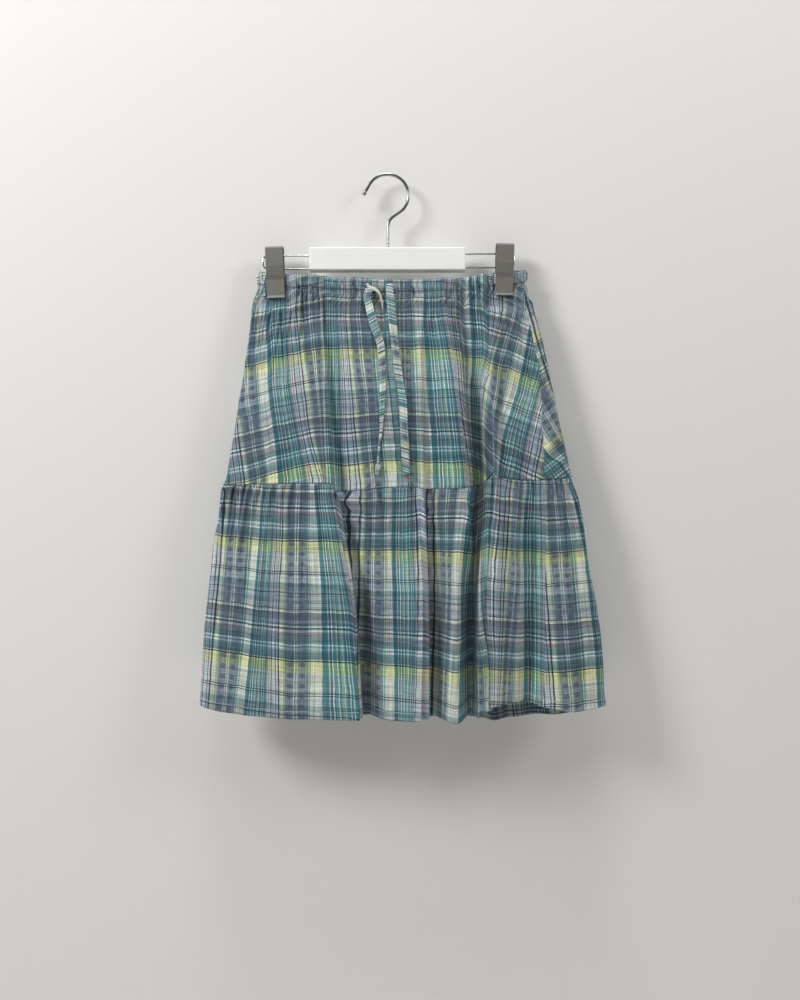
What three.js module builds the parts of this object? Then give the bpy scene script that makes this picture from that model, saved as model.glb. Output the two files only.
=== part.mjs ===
// Knee-length skirt in two gathered tiers, hung by its waist from a clip hanger.
// Millimetres, +Z up, front towards -Y. The origin is where the hook bears on whatever holds it.
import * as THREE from 'three';

// ---- Driving dimensions -------------------------------------------------------------------

// Horizontal rings of the skirt as it hangs: side limits in X, and how far the front and the
// back stand out from the hanger's plane.
const RINGS = [
  { z: -112, left: -154, right: 165, front: 7.0, back: 6.5 },
  { z: -122, left: -157, right: 167, front: 7.5, back: 7.0 },
  { z: -130, left: -156, right: 165, front: 8.0, back: 7.0 },
  { z: -137, left: -156, right: 167, front: 8.0, back: 7.5 },
  { z: -150, left: -160, right: 171, front: 9.0, back: 8.5 },
  { z: -173, left: -164, right: 180, front: 11.0, back: 10.0 },
  { z: -200, left: -167, right: 186, front: 13.0, back: 12.0 },
  { z: -245, left: -173, right: 195.5, front: 15.5, back: 14.0 },
  { z: -300, left: -183, right: 207, front: 18.0, back: 16.0 },
  { z: -365, left: -194, right: 221, front: 20.0, back: 18.0 },
  { z: -377, left: -199, right: 225, front: 20.5, back: 18.5 },
  { z: -413, left: -203, right: 233, front: 24.0, back: 20.0 },
  { z: -437, left: -207, right: 236, front: 26.0, back: 21.5 },
  { z: -461, left: -209.5, right: 239.5, front: 28.0, back: 22.5 },
  { z: -513, left: -215, right: 250, front: 31.5, back: 25.0 },
  { z: -562, left: -219.5, right: 256.5, front: 34.0, back: 27.0 },
  { z: -636, left: -224, right: 261, front: 37.0, back: 29.0 },
  { z: -665, left: -225, right: 263, front: 38.0, back: 30.0 },
];
const RING_FLATNESS = 0.62;
const SIDE_EASE = 0.5;

// Heights of the three edges along the skirt, front and back: waist, tier seam and hem.
const WAIST_EDGE = [
  { x: -157, front: -115.0, back: -115.0 },
  { x: -136, front: -117.5, back: -117.5 },
  { x: -93, front: -121.0, back: -120.0 },
  { x: -40, front: -124.5, back: -122.5 },
  { x: 20, front: -126.0, back: -123.5 },
  { x: 80, front: -124.5, back: -122.0 },
  { x: 118, front: -118.5, back: -118.0 },
  { x: 141, front: -116.0, back: -116.0 },
  { x: 167, front: -113.5, back: -113.5 },
];
const TIER_SEAM = [
  { x: -200, front: -372.0, back: -372.0 },
  { x: -150, front: -370.5, back: -371.0 },
  { x: -72, front: -371.0, back: -372.0 },
  { x: -60, front: -379.0, back: -372.5 },
  { x: 14, front: -374.0, back: -373.0 },
  { x: 56, front: -376.0, back: -373.0 },
  { x: 104, front: -372.0, back: -371.0 },
  { x: 122, front: -363.0, back: -370.0 },
  { x: 130, front: -355.0, back: -369.5 },
  { x: 142, front: -362.0, back: -368.0 },
  { x: 172, front: -366.0, back: -366.0 },
  { x: 234, front: -361.5, back: -361.5 },
];
const HEM_EDGE = [
  { x: -226, front: -633.0, back: -633.0 },
  { x: -170, front: -638.5, back: -645.0 },
  { x: -110, front: -643.0, back: -652.0 },
  { x: -40, front: -640.0, back: -654.5 },
  { x: -20, front: -641.5, back: -654.5 },
  { x: 30, front: -642.0, back: -655.5 },
  { x: 79, front: -644.0, back: -656.5 },
  { x: 103, front: -643.0, back: -657.0 },
  { x: 117, front: -634.0, back: -657.0 },
  { x: 150, front: -623.5, back: -656.5 },
  { x: 185, front: -630.5, back: -654.5 },
  { x: 222, front: -635.5, back: -649.0 },
  { x: 263, front: -632.5, back: -633.0 },
];

// Side seams: where each crosses the front (or the back) at the waist, tier seam and hem.
const RIGHT_SEAM = [
  { z: -112, x: 163 },
  { z: -150, x: 166 },
  { z: -200, x: 174 },
  { z: -245, x: 182 },
  { z: -370, x: 187 },
  { z: -513, x: 186 },
  { z: -665, x: 181 },
];
const LEFT_SEAM = [
  { z: -112, x: -126 },
  { z: -150, x: -130 },
  { z: -245, x: -142 },
  { z: -370, x: -154 },
  { z: -665, x: -172 },
];

// Hanging folds, a row each: crest or valley position (x) and height out of the ring (out,
// negative for a valley) at the four levels below, the reach of the left and right slopes, and
// how far the crest leans sideways over its neighbour. A column of the wall follows each fold
// unless its guide is false.
const FOLD_LEVELS = [-140, -372, -510, -645];
const FRONT_FOLDS = [
  { name: 'left_roll', x: [-140, -168, -182, -192], out: [0, 1, 2, 3], reach: [30, 30], lean: 0, guide: false },
  { name: 'left_crease', x: [-114, -138, -152, -165], out: [0, 1, 3, 3], reach: [14, 20], lean: 0 },
  { name: 'left_panel_edge', x: [-86, -78, -56, -42], out: [0.5, 4, 10, 12], reach: [44, 12], lean: 8 },
  { name: 'left_recess', x: [-75, -64, -35, -21], out: [-1.5, -11, -22, -25], reach: [12, 16], lean: 0 },
  { name: 'tie_roll', x: [-30, -26, -8, 4], out: [0.5, 2, 3, 4], reach: [22, 20], lean: 0 },
  { name: 'tie_valley', x: [21, 28, 22, 18], out: [-1.5, -7, -1, 0], reach: [12, 12], lean: 0, guide: false },
  { name: 'middle_ridge', x: [38, 40, 35, 28], out: [0, 1, 9, 12], reach: [26, 10], lean: 7 },
  { name: 'middle_recess', x: [50, 52, 55, 54], out: [0, -3, -18, -23], reach: [12, 14], lean: 0 },
  { name: 'middle_roll', x: [70, 76, 78, 79], out: [0.5, 3, 8, 12], reach: [18, 15], lean: 0 },
  { name: 'deep_recess', x: [102, 112, 102, 101], out: [-2.5, -18, -28, -31], reach: [14, 13], lean: 0 },
  { name: 'right_panel_edge', x: [121, 132, 120, 121], out: [1.5, 8, 12, 13], reach: [12, 34], lean: -8 },
  { name: 'right_crease', x: [134, 147, 148, 150], out: [0, -6, -2, -2], reach: [8, 9], lean: 0, guide: false },
  { name: 'right_valley', x: [148, 168, 170, 166], out: [0, -3, -12, -15], reach: [17, 15], lean: 0 },
  { name: 'right_roll', x: [160, 200, 206, 212], out: [0, 1, 4, 6], reach: [26, 26], lean: 0, guide: false },
];
const BACK_FOLDS = [
  { name: 'back_left_roll', x: [-106, -130, -146, -152], out: [0, 3, 8, 10], reach: [24, 20], lean: 0 },
  { name: 'back_left_valley', x: [-90, -108, -118, -122], out: [-1, -6, -12, -14], reach: [18, 18], lean: 0 },
  { name: 'back_left_ridge', x: [-66, -80, -84, -82], out: [0.5, 4, 9, 11], reach: [26, 16], lean: 5 },
  { name: 'back_inner_valley', x: [-40, -46, -50, -54], out: [-1, -7, -13, -15], reach: [16, 20], lean: 0 },
  { name: 'back_middle_ridge', x: [-4, -6, -8, -4], out: [0, 3, 8, 10], reach: [26, 26], lean: 0 },
  { name: 'back_middle_valley', x: [28, 34, 36, 40], out: [-1, -6, -12, -14], reach: [20, 16], lean: 0 },
  { name: 'back_right_ridge', x: [62, 72, 78, 82], out: [0.5, 4, 9, 12], reach: [18, 28], lean: -5 },
  { name: 'back_right_valley', x: [96, 116, 124, 130], out: [-1, -7, -12, -14], reach: [18, 20], lean: 0 },
  { name: 'back_right_roll', x: [128, 158, 172, 180], out: [0, 3, 8, 10], reach: [24, 30], lean: 0 },
];
const FULL_LEAN_HEIGHT = 12;
const [, SEAM_LEVEL, , HEM_LEVEL] = FOLD_LEVELS;

// Rows of the two tiers: drop below the upper edge (a share of the tier's height where it is 1
// or less), wall thickness, and swing of the gathers.
const CASING_DEPTH = 16;
const UPPER_ROWS = [
  { drop: 0, wall: 2.2, gather: 1.1 },
  { drop: 8, wall: 3.2, gather: 1.0 },
  { drop: CASING_DEPTH, wall: 1.6, gather: 1.7 },
  { drop: 25, wall: 1.4, gather: 1.9 },
  { drop: 41, wall: 1.4, gather: 1.2 },
  { drop: 70, wall: 1.4, gather: 0.5 },
  { drop: 0.46, wall: 1.4, gather: 0 },
  { drop: 0.65, wall: 1.4, gather: 0 },
  { drop: 0.83, wall: 1.4, gather: 0 },
  { drop: 1, wall: 1.8, gather: 0 },
];
const LOWER_ROWS = [
  { drop: 0, wall: 1.8, gather: 0 },
  { drop: 9, wall: 1.4, gather: 1.5 },
  { drop: 24, wall: 1.4, gather: 1.1 },
  { drop: 56, wall: 1.4, gather: 0.4 },
  { drop: 0.4, wall: 1.4, gather: 0 },
  { drop: 0.57, wall: 1.4, gather: 0 },
  { drop: 0.74, wall: 1.4, gather: 0 },
  { drop: 0.89, wall: 1.4, gather: 0 },
  { drop: 0.965, wall: 1.6, gather: 0 },
  { drop: 1, wall: 2.0, gather: 0 },
];
const FRONT_GATHERS = 39;
const BACK_GATHERS = 31;
const STEEPEST_GATHER = 0.3;
const THIN_WALL = 1.4;
const SEAM_GAP = 0.3;

// Hanger: painted bar, wire hook, a U of wire out of each end of the bar, and a folded clip on
// each U.
const BAR = { width: 186, height: 27, depth: 14, top: -87.6, edge: 1.2 };
const HOOK = { wire: 3.5, radius: 25.2, stemX: 0.6, tipX: -28.8, tipZ: -21.6 };
const RAIL_WIRE = 2;
const RAILS = [
  { name: 'rail_left', side: -1, reach: 149, top: -95.8, bottom: -111.8, bend: 4 },
  { name: 'rail_right', side: 1, reach: 152, top: -93.6, bottom: -110, bend: 4 },
];
const CLIP = { width: 21, sheet: 1.2, depth: 13, jawGap: 5.8, jawLength: 26 };
const SLIDER = { sheet: 1.4, halfDepth: 4.2, inset: 8.5, above: 5.5, below: 3.4, clearance: 0.5 };
const CLIPS = [
  { name: 'clip_left', x: -135.6, top: -85.2, length: 62.4, lean: 2.2 },
  { name: 'clip_right', x: 141, top: -81.5, length: 62.9, lean: -1.5 },
];

// The waist is pressed flat between the clips' jaws.
const PRESS = { reach: 28, full: 17, from: -167, fade: 14, halfDepth: 1.4, wall: 1.6 };

// Drawstring: a flat strip of cloth. Each route runs down the front, a row for each point.
const TIE = { thick: 1.6, clear: 0.3 };
const TIE_LEFT_ROUTE = [
  { x: -21.8, z: -138.5, width: 9.4 },
  { x: -23.6, z: -149.5, width: 9.4 },
  { x: -21.4, z: -160.0, width: 9.4 },
  { x: -18.8, z: -170.6, width: 9.4 },
  { x: -16.4, z: -180.0, width: 9.4 },
  { x: -13.8, z: -188.6, width: 9.4 },
  { x: -10.6, z: -197.6, width: 9.2 },
  { x: -7.8, z: -206.6, width: 8.6 },
  { x: -6.4, z: -220.0, width: 8.4 },
  { x: -5.9, z: -235.3, width: 8.8 },
  { x: -5.4, z: -258.0, width: 8.0 },
  { x: -6.0, z: -280.0, width: 7.0 },
  { x: -6.9, z: -301.8, width: 6.2 },
  { x: -8.5, z: -318.0, width: 6.4 },
  { x: -10.1, z: -333.7, width: 5.6, lift: 0.8 },
  { x: -10.7, z: -346.1, width: 4.4, lift: 2.4 },
];
const TIE_RIGHT_ROUTE = [
  { x: 2.6, z: -133.0, width: 8.6 },
  { x: 3.4, z: -142.0, width: 9.0 },
  { x: 4.2, z: -152.0, width: 9.4 },
  { x: 5.1, z: -164.0, width: 9.4 },
  { x: 6.1, z: -177.0, width: 9.4 },
  { x: 7.6, z: -192.0, width: 9.4 },
  { x: 9.4, z: -208.0, width: 9.4 },
  { x: 11.4, z: -225.0, width: 9.4 },
  { x: 13.6, z: -243.0, width: 9.2 },
  { x: 16.2, z: -258.0, width: 8.8 },
  { x: 18.2, z: -272.0, width: 8.6 },
  { x: 19.2, z: -290.0, width: 9.2 },
  { x: 19.9, z: -308.0, width: 9.6 },
  { x: 20.8, z: -325.0, width: 9.6 },
  { x: 21.4, z: -342.0, width: 9.6 },
  { x: 21.9, z: -359.5, width: 9.4 },
];
const KNOT = { x: -10.9, z: -353.4, width: 9, depth: 6.6, height: 14 };

// ---- Materials ----------------------------------------------------------------------------

const cotton = new THREE.MeshStandardMaterial({ color: 0x7896a0, roughness: 0.9, metalness: 0 });
const paintedWood = new THREE.MeshStandardMaterial({ color: 0xf0efec, roughness: 0.45, metalness: 0 });
const chrome = new THREE.MeshStandardMaterial({ color: 0xb9babb, roughness: 0.15, metalness: 1 });
const clipSteel = new THREE.MeshStandardMaterial({ color: 0x6b6862, roughness: 0.4, metalness: 0.7 });

// ---- Shape of the hanging cloth -------------------------------------------------------------

// Value at a place on the smooth curve through the given values, one for each key.
function smoothCurve(keys, values, place) {
  const last = keys.length - 1;
  const rising = keys[1] > keys[0] ? 1 : -1;
  if ((place - keys[0]) * rising <= 0) return values[0];
  if ((place - keys[last]) * rising >= 0) return values[last];
  let i = 0;
  while ((place - keys[i + 1]) * rising > 0) i += 1;
  const slopeAt = (n) => {
    const before = Math.max(n - 1, 0);
    const after = Math.min(n + 1, last);
    return (values[after] - values[before]) / (keys[after] - keys[before]);
  };
  const span = keys[i + 1] - keys[i];
  const s = (place - keys[i]) / span;
  const s2 = s * s;
  const s3 = s2 * s;
  return (2 * s3 - 3 * s2 + 1) * values[i] + (s3 - 2 * s2 + s) * span * slopeAt(i)
    + (3 * s2 - 2 * s3) * values[i + 1] + (s3 - s2) * span * slopeAt(i + 1);
}

// Value of a table's column at a place along its key.
function along(rows, key, column, place) {
  return smoothCurve(rows.map((row) => row[key]), rows.map((row) => row[column]), place);
}

// Place round the ring: 0 is the left side, 0 to 1 the front, 1 the right side, 1 to 2 the back.
function wrap(turn) {
  return ((turn % 2) + 2) % 2;
}

function onFront(turn) {
  return wrap(turn) <= 1;
}

// Share of the width, from left to right, with the steps drawn in towards the sides.
function widthShare(turn) {
  const t = onFront(turn) ? wrap(turn) : 2 - wrap(turn);
  return t - SIDE_EASE * Math.sin(2 * Math.PI * t) / (2 * Math.PI);
}

function turnAt(x, z, front) {
  const left = along(RINGS, 'z', 'left', z);
  const right = along(RINGS, 'z', 'right', z);
  const share = (x - left) / (right - left);
  let low = 0;
  let high = 1;
  for (let i = 0; i < 40; i += 1) {
    const middle = (low + high) / 2;
    if (widthShare(middle) < share) low = middle;
    else high = middle;
  }
  return front ? low : 2 - low;
}

function ringPoint(turn, z) {
  const left = along(RINGS, 'z', 'left', z);
  const right = along(RINGS, 'z', 'right', z);
  const share = widthShare(turn);
  const round = Math.pow(4 * Math.max(share * (1 - share), 0), RING_FLATNESS / 2);
  const depth = onFront(turn) ? -along(RINGS, 'z', 'front', z) : along(RINGS, 'z', 'back', z);
  return { x: left + (right - left) * share, y: depth * round };
}

function ringDirection(turn, z) {
  const step = 0.004;
  const a = ringPoint(turn - step, z);
  const b = ringPoint(turn + step, z);
  const length = Math.hypot(b.x - a.x, b.y - a.y);
  return { x: (b.x - a.x) / length, y: (b.y - a.y) / length };
}

// How strongly the jaws press the waist at this place, 0 to 1.
function pressed(x, z) {
  let most = 0;
  for (const clip of CLIPS) {
    const away = Math.abs(x - clip.x);
    const across = THREE.MathUtils.smoothstep(PRESS.reach - away, 0, PRESS.reach - PRESS.full);
    const down = THREE.MathUtils.smoothstep(z, PRESS.from, PRESS.from + PRESS.fade);
    most = Math.max(most, across * down);
  }
  return most;
}

// A fold at a height: the x its crest rises from, its height, and its lean there.
function foldAt(row, z) {
  const height = smoothCurve(FOLD_LEVELS, row.out, z);
  const lean = row.lean * Math.min(1, Math.abs(height) / FULL_LEAN_HEIGHT);
  return { foot: smoothCurve(FOLD_LEVELS, row.x, z) - lean, height, lean };
}

// Point of the cloth's middle surface, in plan, with its folds and the swing of its gathers.
function clothPoint(turn, z, gather) {
  const base = ringPoint(turn, z);
  const along2 = ringDirection(turn, z);
  let out = 0;
  let sideways = 0;
  for (const row of onFront(turn) ? FRONT_FOLDS : BACK_FOLDS) {
    const { foot, height, lean } = foldAt(row, z);
    const away = base.x - foot;
    const reach = away < 0 ? row.reach[0] : row.reach[1];
    if (Math.abs(away) < reach) {
      const rise = (1 + Math.cos(Math.PI * away / reach)) / 2;
      out += height * rise;
      sideways += lean * rise * (onFront(turn) ? 1 : -1);
    }
  }
  const press = pressed(base.x, z);
  out = (out + gather) * (1 - press);
  const x = base.x + along2.x * sideways + along2.y * out;
  const y = base.y + along2.y * sideways - along2.x * out;
  const flatY = Math.sign(base.y) * PRESS.halfDepth;
  return { x, y: y + (flatY - y) * press, press };
}

// Direction of the smooth cloth, without gathers, along the ring.
function clothRun(turn, z) {
  const step = 0.003;
  const a = clothPoint(turn - step, z, 0);
  const b = clothPoint(turn + step, z, 0);
  return { x: b.x - a.x, y: b.y - a.y };
}

function edgeHeight(edge, turn, z) {
  const x = ringPoint(turn, z).x;
  return along(edge, 'x', onFront(turn) ? 'front' : 'back', x);
}

// Turns of the two side seams at a height. The right one shows on the front, the left one is
// behind.
function seamTurns(z) {
  const right = turnAt(along(RIGHT_SEAM, 'z', 'x', z), z, true);
  const left = turnAt(along(LEFT_SEAM, 'z', 'x', z), z, false) - 2;
  return { left, right };
}

// Turns of a panel's two ends and of its guide folds at a height.
function guideTurns(front, z) {
  const seams = seamTurns(z);
  const start = front ? seams.left : seams.right;
  const end = front ? seams.right : seams.left + 2;
  const width = along(RINGS, 'z', 'right', z) - along(RINGS, 'z', 'left', z);
  const pause = SEAM_GAP / width;
  const folds = (front ? FRONT_FOLDS : BACK_FOLDS)
    .filter((row) => row.guide !== false)
    .map((row) => turnAt(foldAt(row, z).foot, z, front))
    .sort((a, b) => a - b);
  return [start + pause, ...folds, end - pause];
}

// Turn of each column at a height. Every guide fold keeps the column that it has at the tier
// seam, so columns run down the folds, and both tiers share them along their seam.
function columnTurns(front, z, columns) {
  const atSeam = guideTurns(front, SEAM_LEVEL);
  const here = guideTurns(front, z);
  const length = atSeam[atSeam.length - 1] - atSeam[0];
  const numbers = atSeam.map((turn) => Math.round((turn - atSeam[0]) / length * columns));
  const turns = [];
  for (let i = 0; i < numbers.length - 1; i += 1) {
    for (let c = numbers[i]; c < numbers[i + 1]; c += 1) {
      const share = (c - numbers[i]) / (numbers[i + 1] - numbers[i]);
      turns.push(here[i] + (here[i + 1] - here[i]) * share);
    }
  }
  turns.push(here[here.length - 1]);
  return turns;
}

// Rows and columns of a panel's middle surface. Columns are set a gather's crest and hollow
// apart, so both tiers share them along their seam.
function panelGrid({ front, upper, rows, gathers }) {
  const topEdge = upper ? WAIST_EDGE : TIER_SEAM;
  const bottomEdge = upper ? TIER_SEAM : HEM_EDGE;
  const topLevel = upper ? -120 : SEAM_LEVEL;
  const bottomLevel = upper ? SEAM_LEVEL : HEM_LEVEL;
  const half = SEAM_GAP / 2;
  const columns = gathers * 2;
  const grid = [];
  for (const row of rows) {
    const line = [];
    const nominal = row.drop <= 1
      ? topLevel + (bottomLevel - topLevel) * row.drop
      : topLevel - row.drop;
    const turns = columnTurns(front, nominal, columns);
    for (let c = 0; c <= columns; c += 1) {
      const share = c / columns;
      const turn = turns[c];
      const top = edgeHeight(topEdge, turn, topLevel) - (upper ? 0 : half);
      const bottom = edgeHeight(bottomEdge, turn, bottomLevel) + (upper ? half : 0);
      const z = row.drop <= 1 ? top + (bottom - top) * row.drop : top - row.drop;
      const ease = Math.min(1, 30 * share * (1 - share));
      const uneven = 0.75 + 0.25 * Math.sin(c * 1.7) + 0.2 * Math.sin(c * 0.53 + 1);
      const before = ringPoint(turns[Math.max(c - 1, 0)], z);
      const after = ringPoint(turns[Math.min(c + 1, columns)], z);
      const pitch = Math.hypot(after.x - before.x, after.y - before.y) / 2;
      const swing = Math.min(row.gather * uneven, pitch * STEEPEST_GATHER);
      const gather = (c % 2 === 0 ? 1 : -1) * swing * ease;
      const point = clothPoint(turn, z, gather);
      const fitting = Math.max(THIN_WALL, Math.min(row.wall, pitch));
      const wall = fitting + (Math.min(fitting, PRESS.wall) - fitting) * point.press;
      line.push({ x: point.x, y: point.y, z, wall, run: clothRun(turn, z) });
    }
    grid.push(line);
  }
  return grid;
}

// Closed wall round a grid of middle points: an outer face, an inner face and the four edges.
function wallGeometry(grid) {
  const rows = grid.length;
  const columns = grid[0].length;
  const positions = [];
  for (const side of [1, -1]) {
    for (const line of grid) {
      line.forEach((point, c) => {
        const inside = c > 0 && c < columns - 1;
        const run = inside
          ? { x: line[c + 1].x - line[c - 1].x, y: line[c + 1].y - line[c - 1].y }
          : point.run;
        const offset = side * point.wall / 2 / Math.hypot(run.x, run.y);
        positions.push(point.x + run.y * offset, point.y - run.x * offset, point.z);
      });
    }
  }
  const at = (side, r, c) => side * rows * columns + r * columns + c;
  const faces = [];
  const quad = (a, b, c, d) => faces.push(a, b, c, a, c, d);
  for (let r = 0; r < rows - 1; r += 1) {
    for (let c = 0; c < columns - 1; c += 1) {
      quad(at(0, r, c), at(0, r + 1, c), at(0, r + 1, c + 1), at(0, r, c + 1));
      quad(at(1, r, c), at(1, r, c + 1), at(1, r + 1, c + 1), at(1, r + 1, c));
    }
  }
  for (let c = 0; c < columns - 1; c += 1) {
    quad(at(0, 0, c), at(0, 0, c + 1), at(1, 0, c + 1), at(1, 0, c));
    quad(at(0, rows - 1, c), at(1, rows - 1, c), at(1, rows - 1, c + 1), at(0, rows - 1, c + 1));
  }
  for (let r = 0; r < rows - 1; r += 1) {
    quad(at(0, r, 0), at(1, r, 0), at(1, r + 1, 0), at(0, r + 1, 0));
    quad(at(0, r, columns - 1), at(0, r + 1, columns - 1), at(1, r + 1, columns - 1), at(1, r, columns - 1));
  }
  return indexed(positions, faces);
}

function indexed(positions, faces) {
  const geometry = new THREE.BufferGeometry();
  geometry.setAttribute('position', new THREE.Float32BufferAttribute(positions, 3));
  geometry.setIndex(faces);
  geometry.computeVertexNormals();
  return geometry;
}

// ---- Drawstring -----------------------------------------------------------------------------

// Most that the front stands out within a strip's width at a height.
function frontAt(x, z, reach) {
  let nearest = 0;
  for (const shift of [-reach, -reach / 2, 0, reach / 2, reach]) {
    const turn = turnAt(x + shift, z, true);
    nearest = Math.min(nearest, clothPoint(turn, z, 0).y);
  }
  return nearest;
}

// How far the cloth's outer face can stand out of its middle surface at a height.
function clothRelief(z) {
  const drop = -123 - z;
  const casing = drop < CASING_DEPTH + 2;
  return casing ? 2.5 : THREE.MathUtils.lerp(2.7, 1.0, THREE.MathUtils.smoothstep(drop, 30, 75));
}

// Flat strip with rounded edges, eight sides round, lying on the front along a route.
function tieGeometry(route) {
  const sides = 8;
  const positions = [];
  route.forEach((point, i) => {
    const before = route[Math.max(i - 1, 0)];
    const after = route[Math.min(i + 1, route.length - 1)];
    const length = Math.hypot(after.x - before.x, after.z - before.z);
    const acrossX = -(after.z - before.z) / length;
    const acrossZ = (after.x - before.x) / length;
    const cloth = frontAt(point.x, point.z, point.width / 2) - clothRelief(point.z);
    const y = cloth - TIE.clear - TIE.thick / 2 - (point.lift ?? 0);
    for (let k = 0; k < sides; k += 1) {
      const angle = (k + 0.5) / sides * 2 * Math.PI;
      const across = Math.sign(Math.cos(angle)) * Math.pow(Math.abs(Math.cos(angle)), 0.5) * point.width / 2;
      const out = Math.sin(angle) * TIE.thick / 2;
      positions.push(point.x + acrossX * across, y - out, point.z + acrossZ * across);
    }
  });
  const faces = [];
  for (let i = 0; i < route.length - 1; i += 1) {
    for (let k = 0; k < sides; k += 1) {
      const next = (k + 1) % sides;
      const a = i * sides + k;
      const b = i * sides + next;
      faces.push(a, b + sides, a + sides, a, b, b + sides);
    }
  }
  const last = (route.length - 1) * sides;
  for (let k = 1; k < sides - 1; k += 1) {
    faces.push(0, k + 1, k);
    faces.push(last, last + k, last + k + 1);
  }
  return indexed(positions, faces);
}

function knotGeometry() {
  const geometry = new THREE.SphereGeometry(1, 12, 8);
  geometry.scale(KNOT.width / 2, KNOT.depth / 2, KNOT.height / 2);
  const cloth = frontAt(KNOT.x, KNOT.z, KNOT.width / 2) - clothRelief(KNOT.z);
  const y = cloth - KNOT.depth / 2;
  geometry.translate(KNOT.x, y, KNOT.z);
  return geometry;
}

// ---- Hanger -----------------------------------------------------------------------------------

class WirePath extends THREE.Curve {
  constructor(points) {
    super();
    this.spline = new THREE.CatmullRomCurve3(points, false, 'centripetal');
  }

  getPoint(t, target = new THREE.Vector3()) {
    return this.spline.getPointAt(t, target);
  }
}

function roundWire(points, diameter, steps, sides) {
  const section = new THREE.Shape();
  section.absarc(0, 0, diameter / 2, 0, 2 * Math.PI, false);
  return new THREE.ExtrudeGeometry(section, {
    steps,
    curveSegments: sides / 2,
    extrudePath: new WirePath(points),
  });
}

function hookGeometry() {
  const centreZ = HOOK.wire / 2 - HOOK.radius;
  const points = [new THREE.Vector3(HOOK.tipX, 0, HOOK.tipZ)];
  for (let degrees = 158; degrees >= -46; degrees -= 12) {
    const angle = THREE.MathUtils.degToRad(degrees);
    points.push(new THREE.Vector3(
      HOOK.radius * Math.cos(angle),
      0,
      centreZ + HOOK.radius * Math.sin(angle),
    ));
  }
  points.push(new THREE.Vector3(4.2, 0, -51.6));
  points.push(new THREE.Vector3(HOOK.stemX + 0.4, 0, -58));
  points.push(new THREE.Vector3(HOOK.stemX, 0, -66));
  points.push(new THREE.Vector3(HOOK.stemX, 0, BAR.top + SEAM_GAP));
  return roundWire(points, HOOK.wire, 44, 8);
}

function railGeometry(rail) {
  const inner = rail.side * (BAR.width / 2 + SEAM_GAP);
  const outer = rail.side * rail.reach;
  const turn = rail.side * rail.bend;
  const corners = [
    [inner, rail.top], [(inner + outer) / 2, rail.top], [outer - turn, rail.top],
    [outer - turn * 0.3, rail.top - rail.bend * 0.3], [outer, rail.top - rail.bend],
    [outer, rail.bottom + rail.bend],
    [outer - turn * 0.3, rail.bottom + rail.bend * 0.3], [outer - turn, rail.bottom],
    [(inner + outer) / 2, rail.bottom], [inner, rail.bottom],
  ];
  return roundWire(corners.map(([x, z]) => new THREE.Vector3(x, 0, z)), RAIL_WIRE, 26, 8);
}

function barGeometry() {
  const bevel = BAR.edge;
  const outline = new THREE.Shape();
  outline.moveTo(-BAR.width / 2 + bevel, -BAR.height / 2 + bevel);
  outline.lineTo(BAR.width / 2 - bevel, -BAR.height / 2 + bevel);
  outline.lineTo(BAR.width / 2 - bevel, BAR.height / 2 - bevel);
  outline.lineTo(-BAR.width / 2 + bevel, BAR.height / 2 - bevel);
  const geometry = new THREE.ExtrudeGeometry(outline, {
    depth: BAR.depth - 2 * bevel,
    bevelThickness: bevel,
    bevelSize: bevel,
    bevelSegments: 2,
  });
  geometry.translate(0, 0, -BAR.depth / 2 + bevel);
  geometry.rotateX(Math.PI / 2);
  return geometry;
}

// Turns an outline's axes to Y and Z, and its extrusion along X.
const OUTLINE_TO_SIDE = new THREE.Matrix4().set(0, 0, 1, 0, 1, 0, 0, 0, 0, 1, 0, 0, 0, 0, 0, 1);

// One folded strip of spring steel: a rounded fold over the rail and two legs that close to
// the jaws.
function clipGeometry(length) {
  const half = CLIP.depth / 2;
  const jaw = CLIP.jawGap / 2 + CLIP.sheet;
  const bendZ = -(length - CLIP.jawLength);
  const outer = [];
  const inner = [];
  const leg = [
    [jaw + 1.4, -length], [jaw, -length + 3], [jaw, bendZ - 4], [jaw + 1.2, bendZ + 1], [half, bendZ + 12],
  ];
  for (const [y, z] of leg) {
    outer.push([y, z]);
    inner.push([y - CLIP.sheet, z]);
  }
  for (const degrees of [0, 30, 60, 90, 120, 150, 180]) {
    const angle = THREE.MathUtils.degToRad(degrees);
    const rise = 3.2;
    outer.push([half * Math.cos(angle), -rise + rise * Math.sin(angle)]);
    const innerHalf = half - CLIP.sheet;
    inner.push([innerHalf * Math.cos(angle), -rise + (rise - CLIP.sheet) * Math.sin(angle)]);
  }
  for (const [y, z] of [...leg].reverse()) {
    outer.push([-y, z]);
    inner.push([-y + CLIP.sheet, z]);
  }
  const outline = new THREE.Shape();
  outer.forEach(([y, z], i) => (i ? outline.lineTo(y, z) : outline.moveTo(y, z)));
  [...inner].reverse().forEach(([y, z]) => outline.lineTo(y, z));
  const geometry = new THREE.ExtrudeGeometry(outline, { depth: CLIP.width, bevelEnabled: false });
  geometry.translate(0, 0, -CLIP.width / 2);
  geometry.applyMatrix4(OUTLINE_TO_SIDE);
  return geometry;
}

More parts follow.
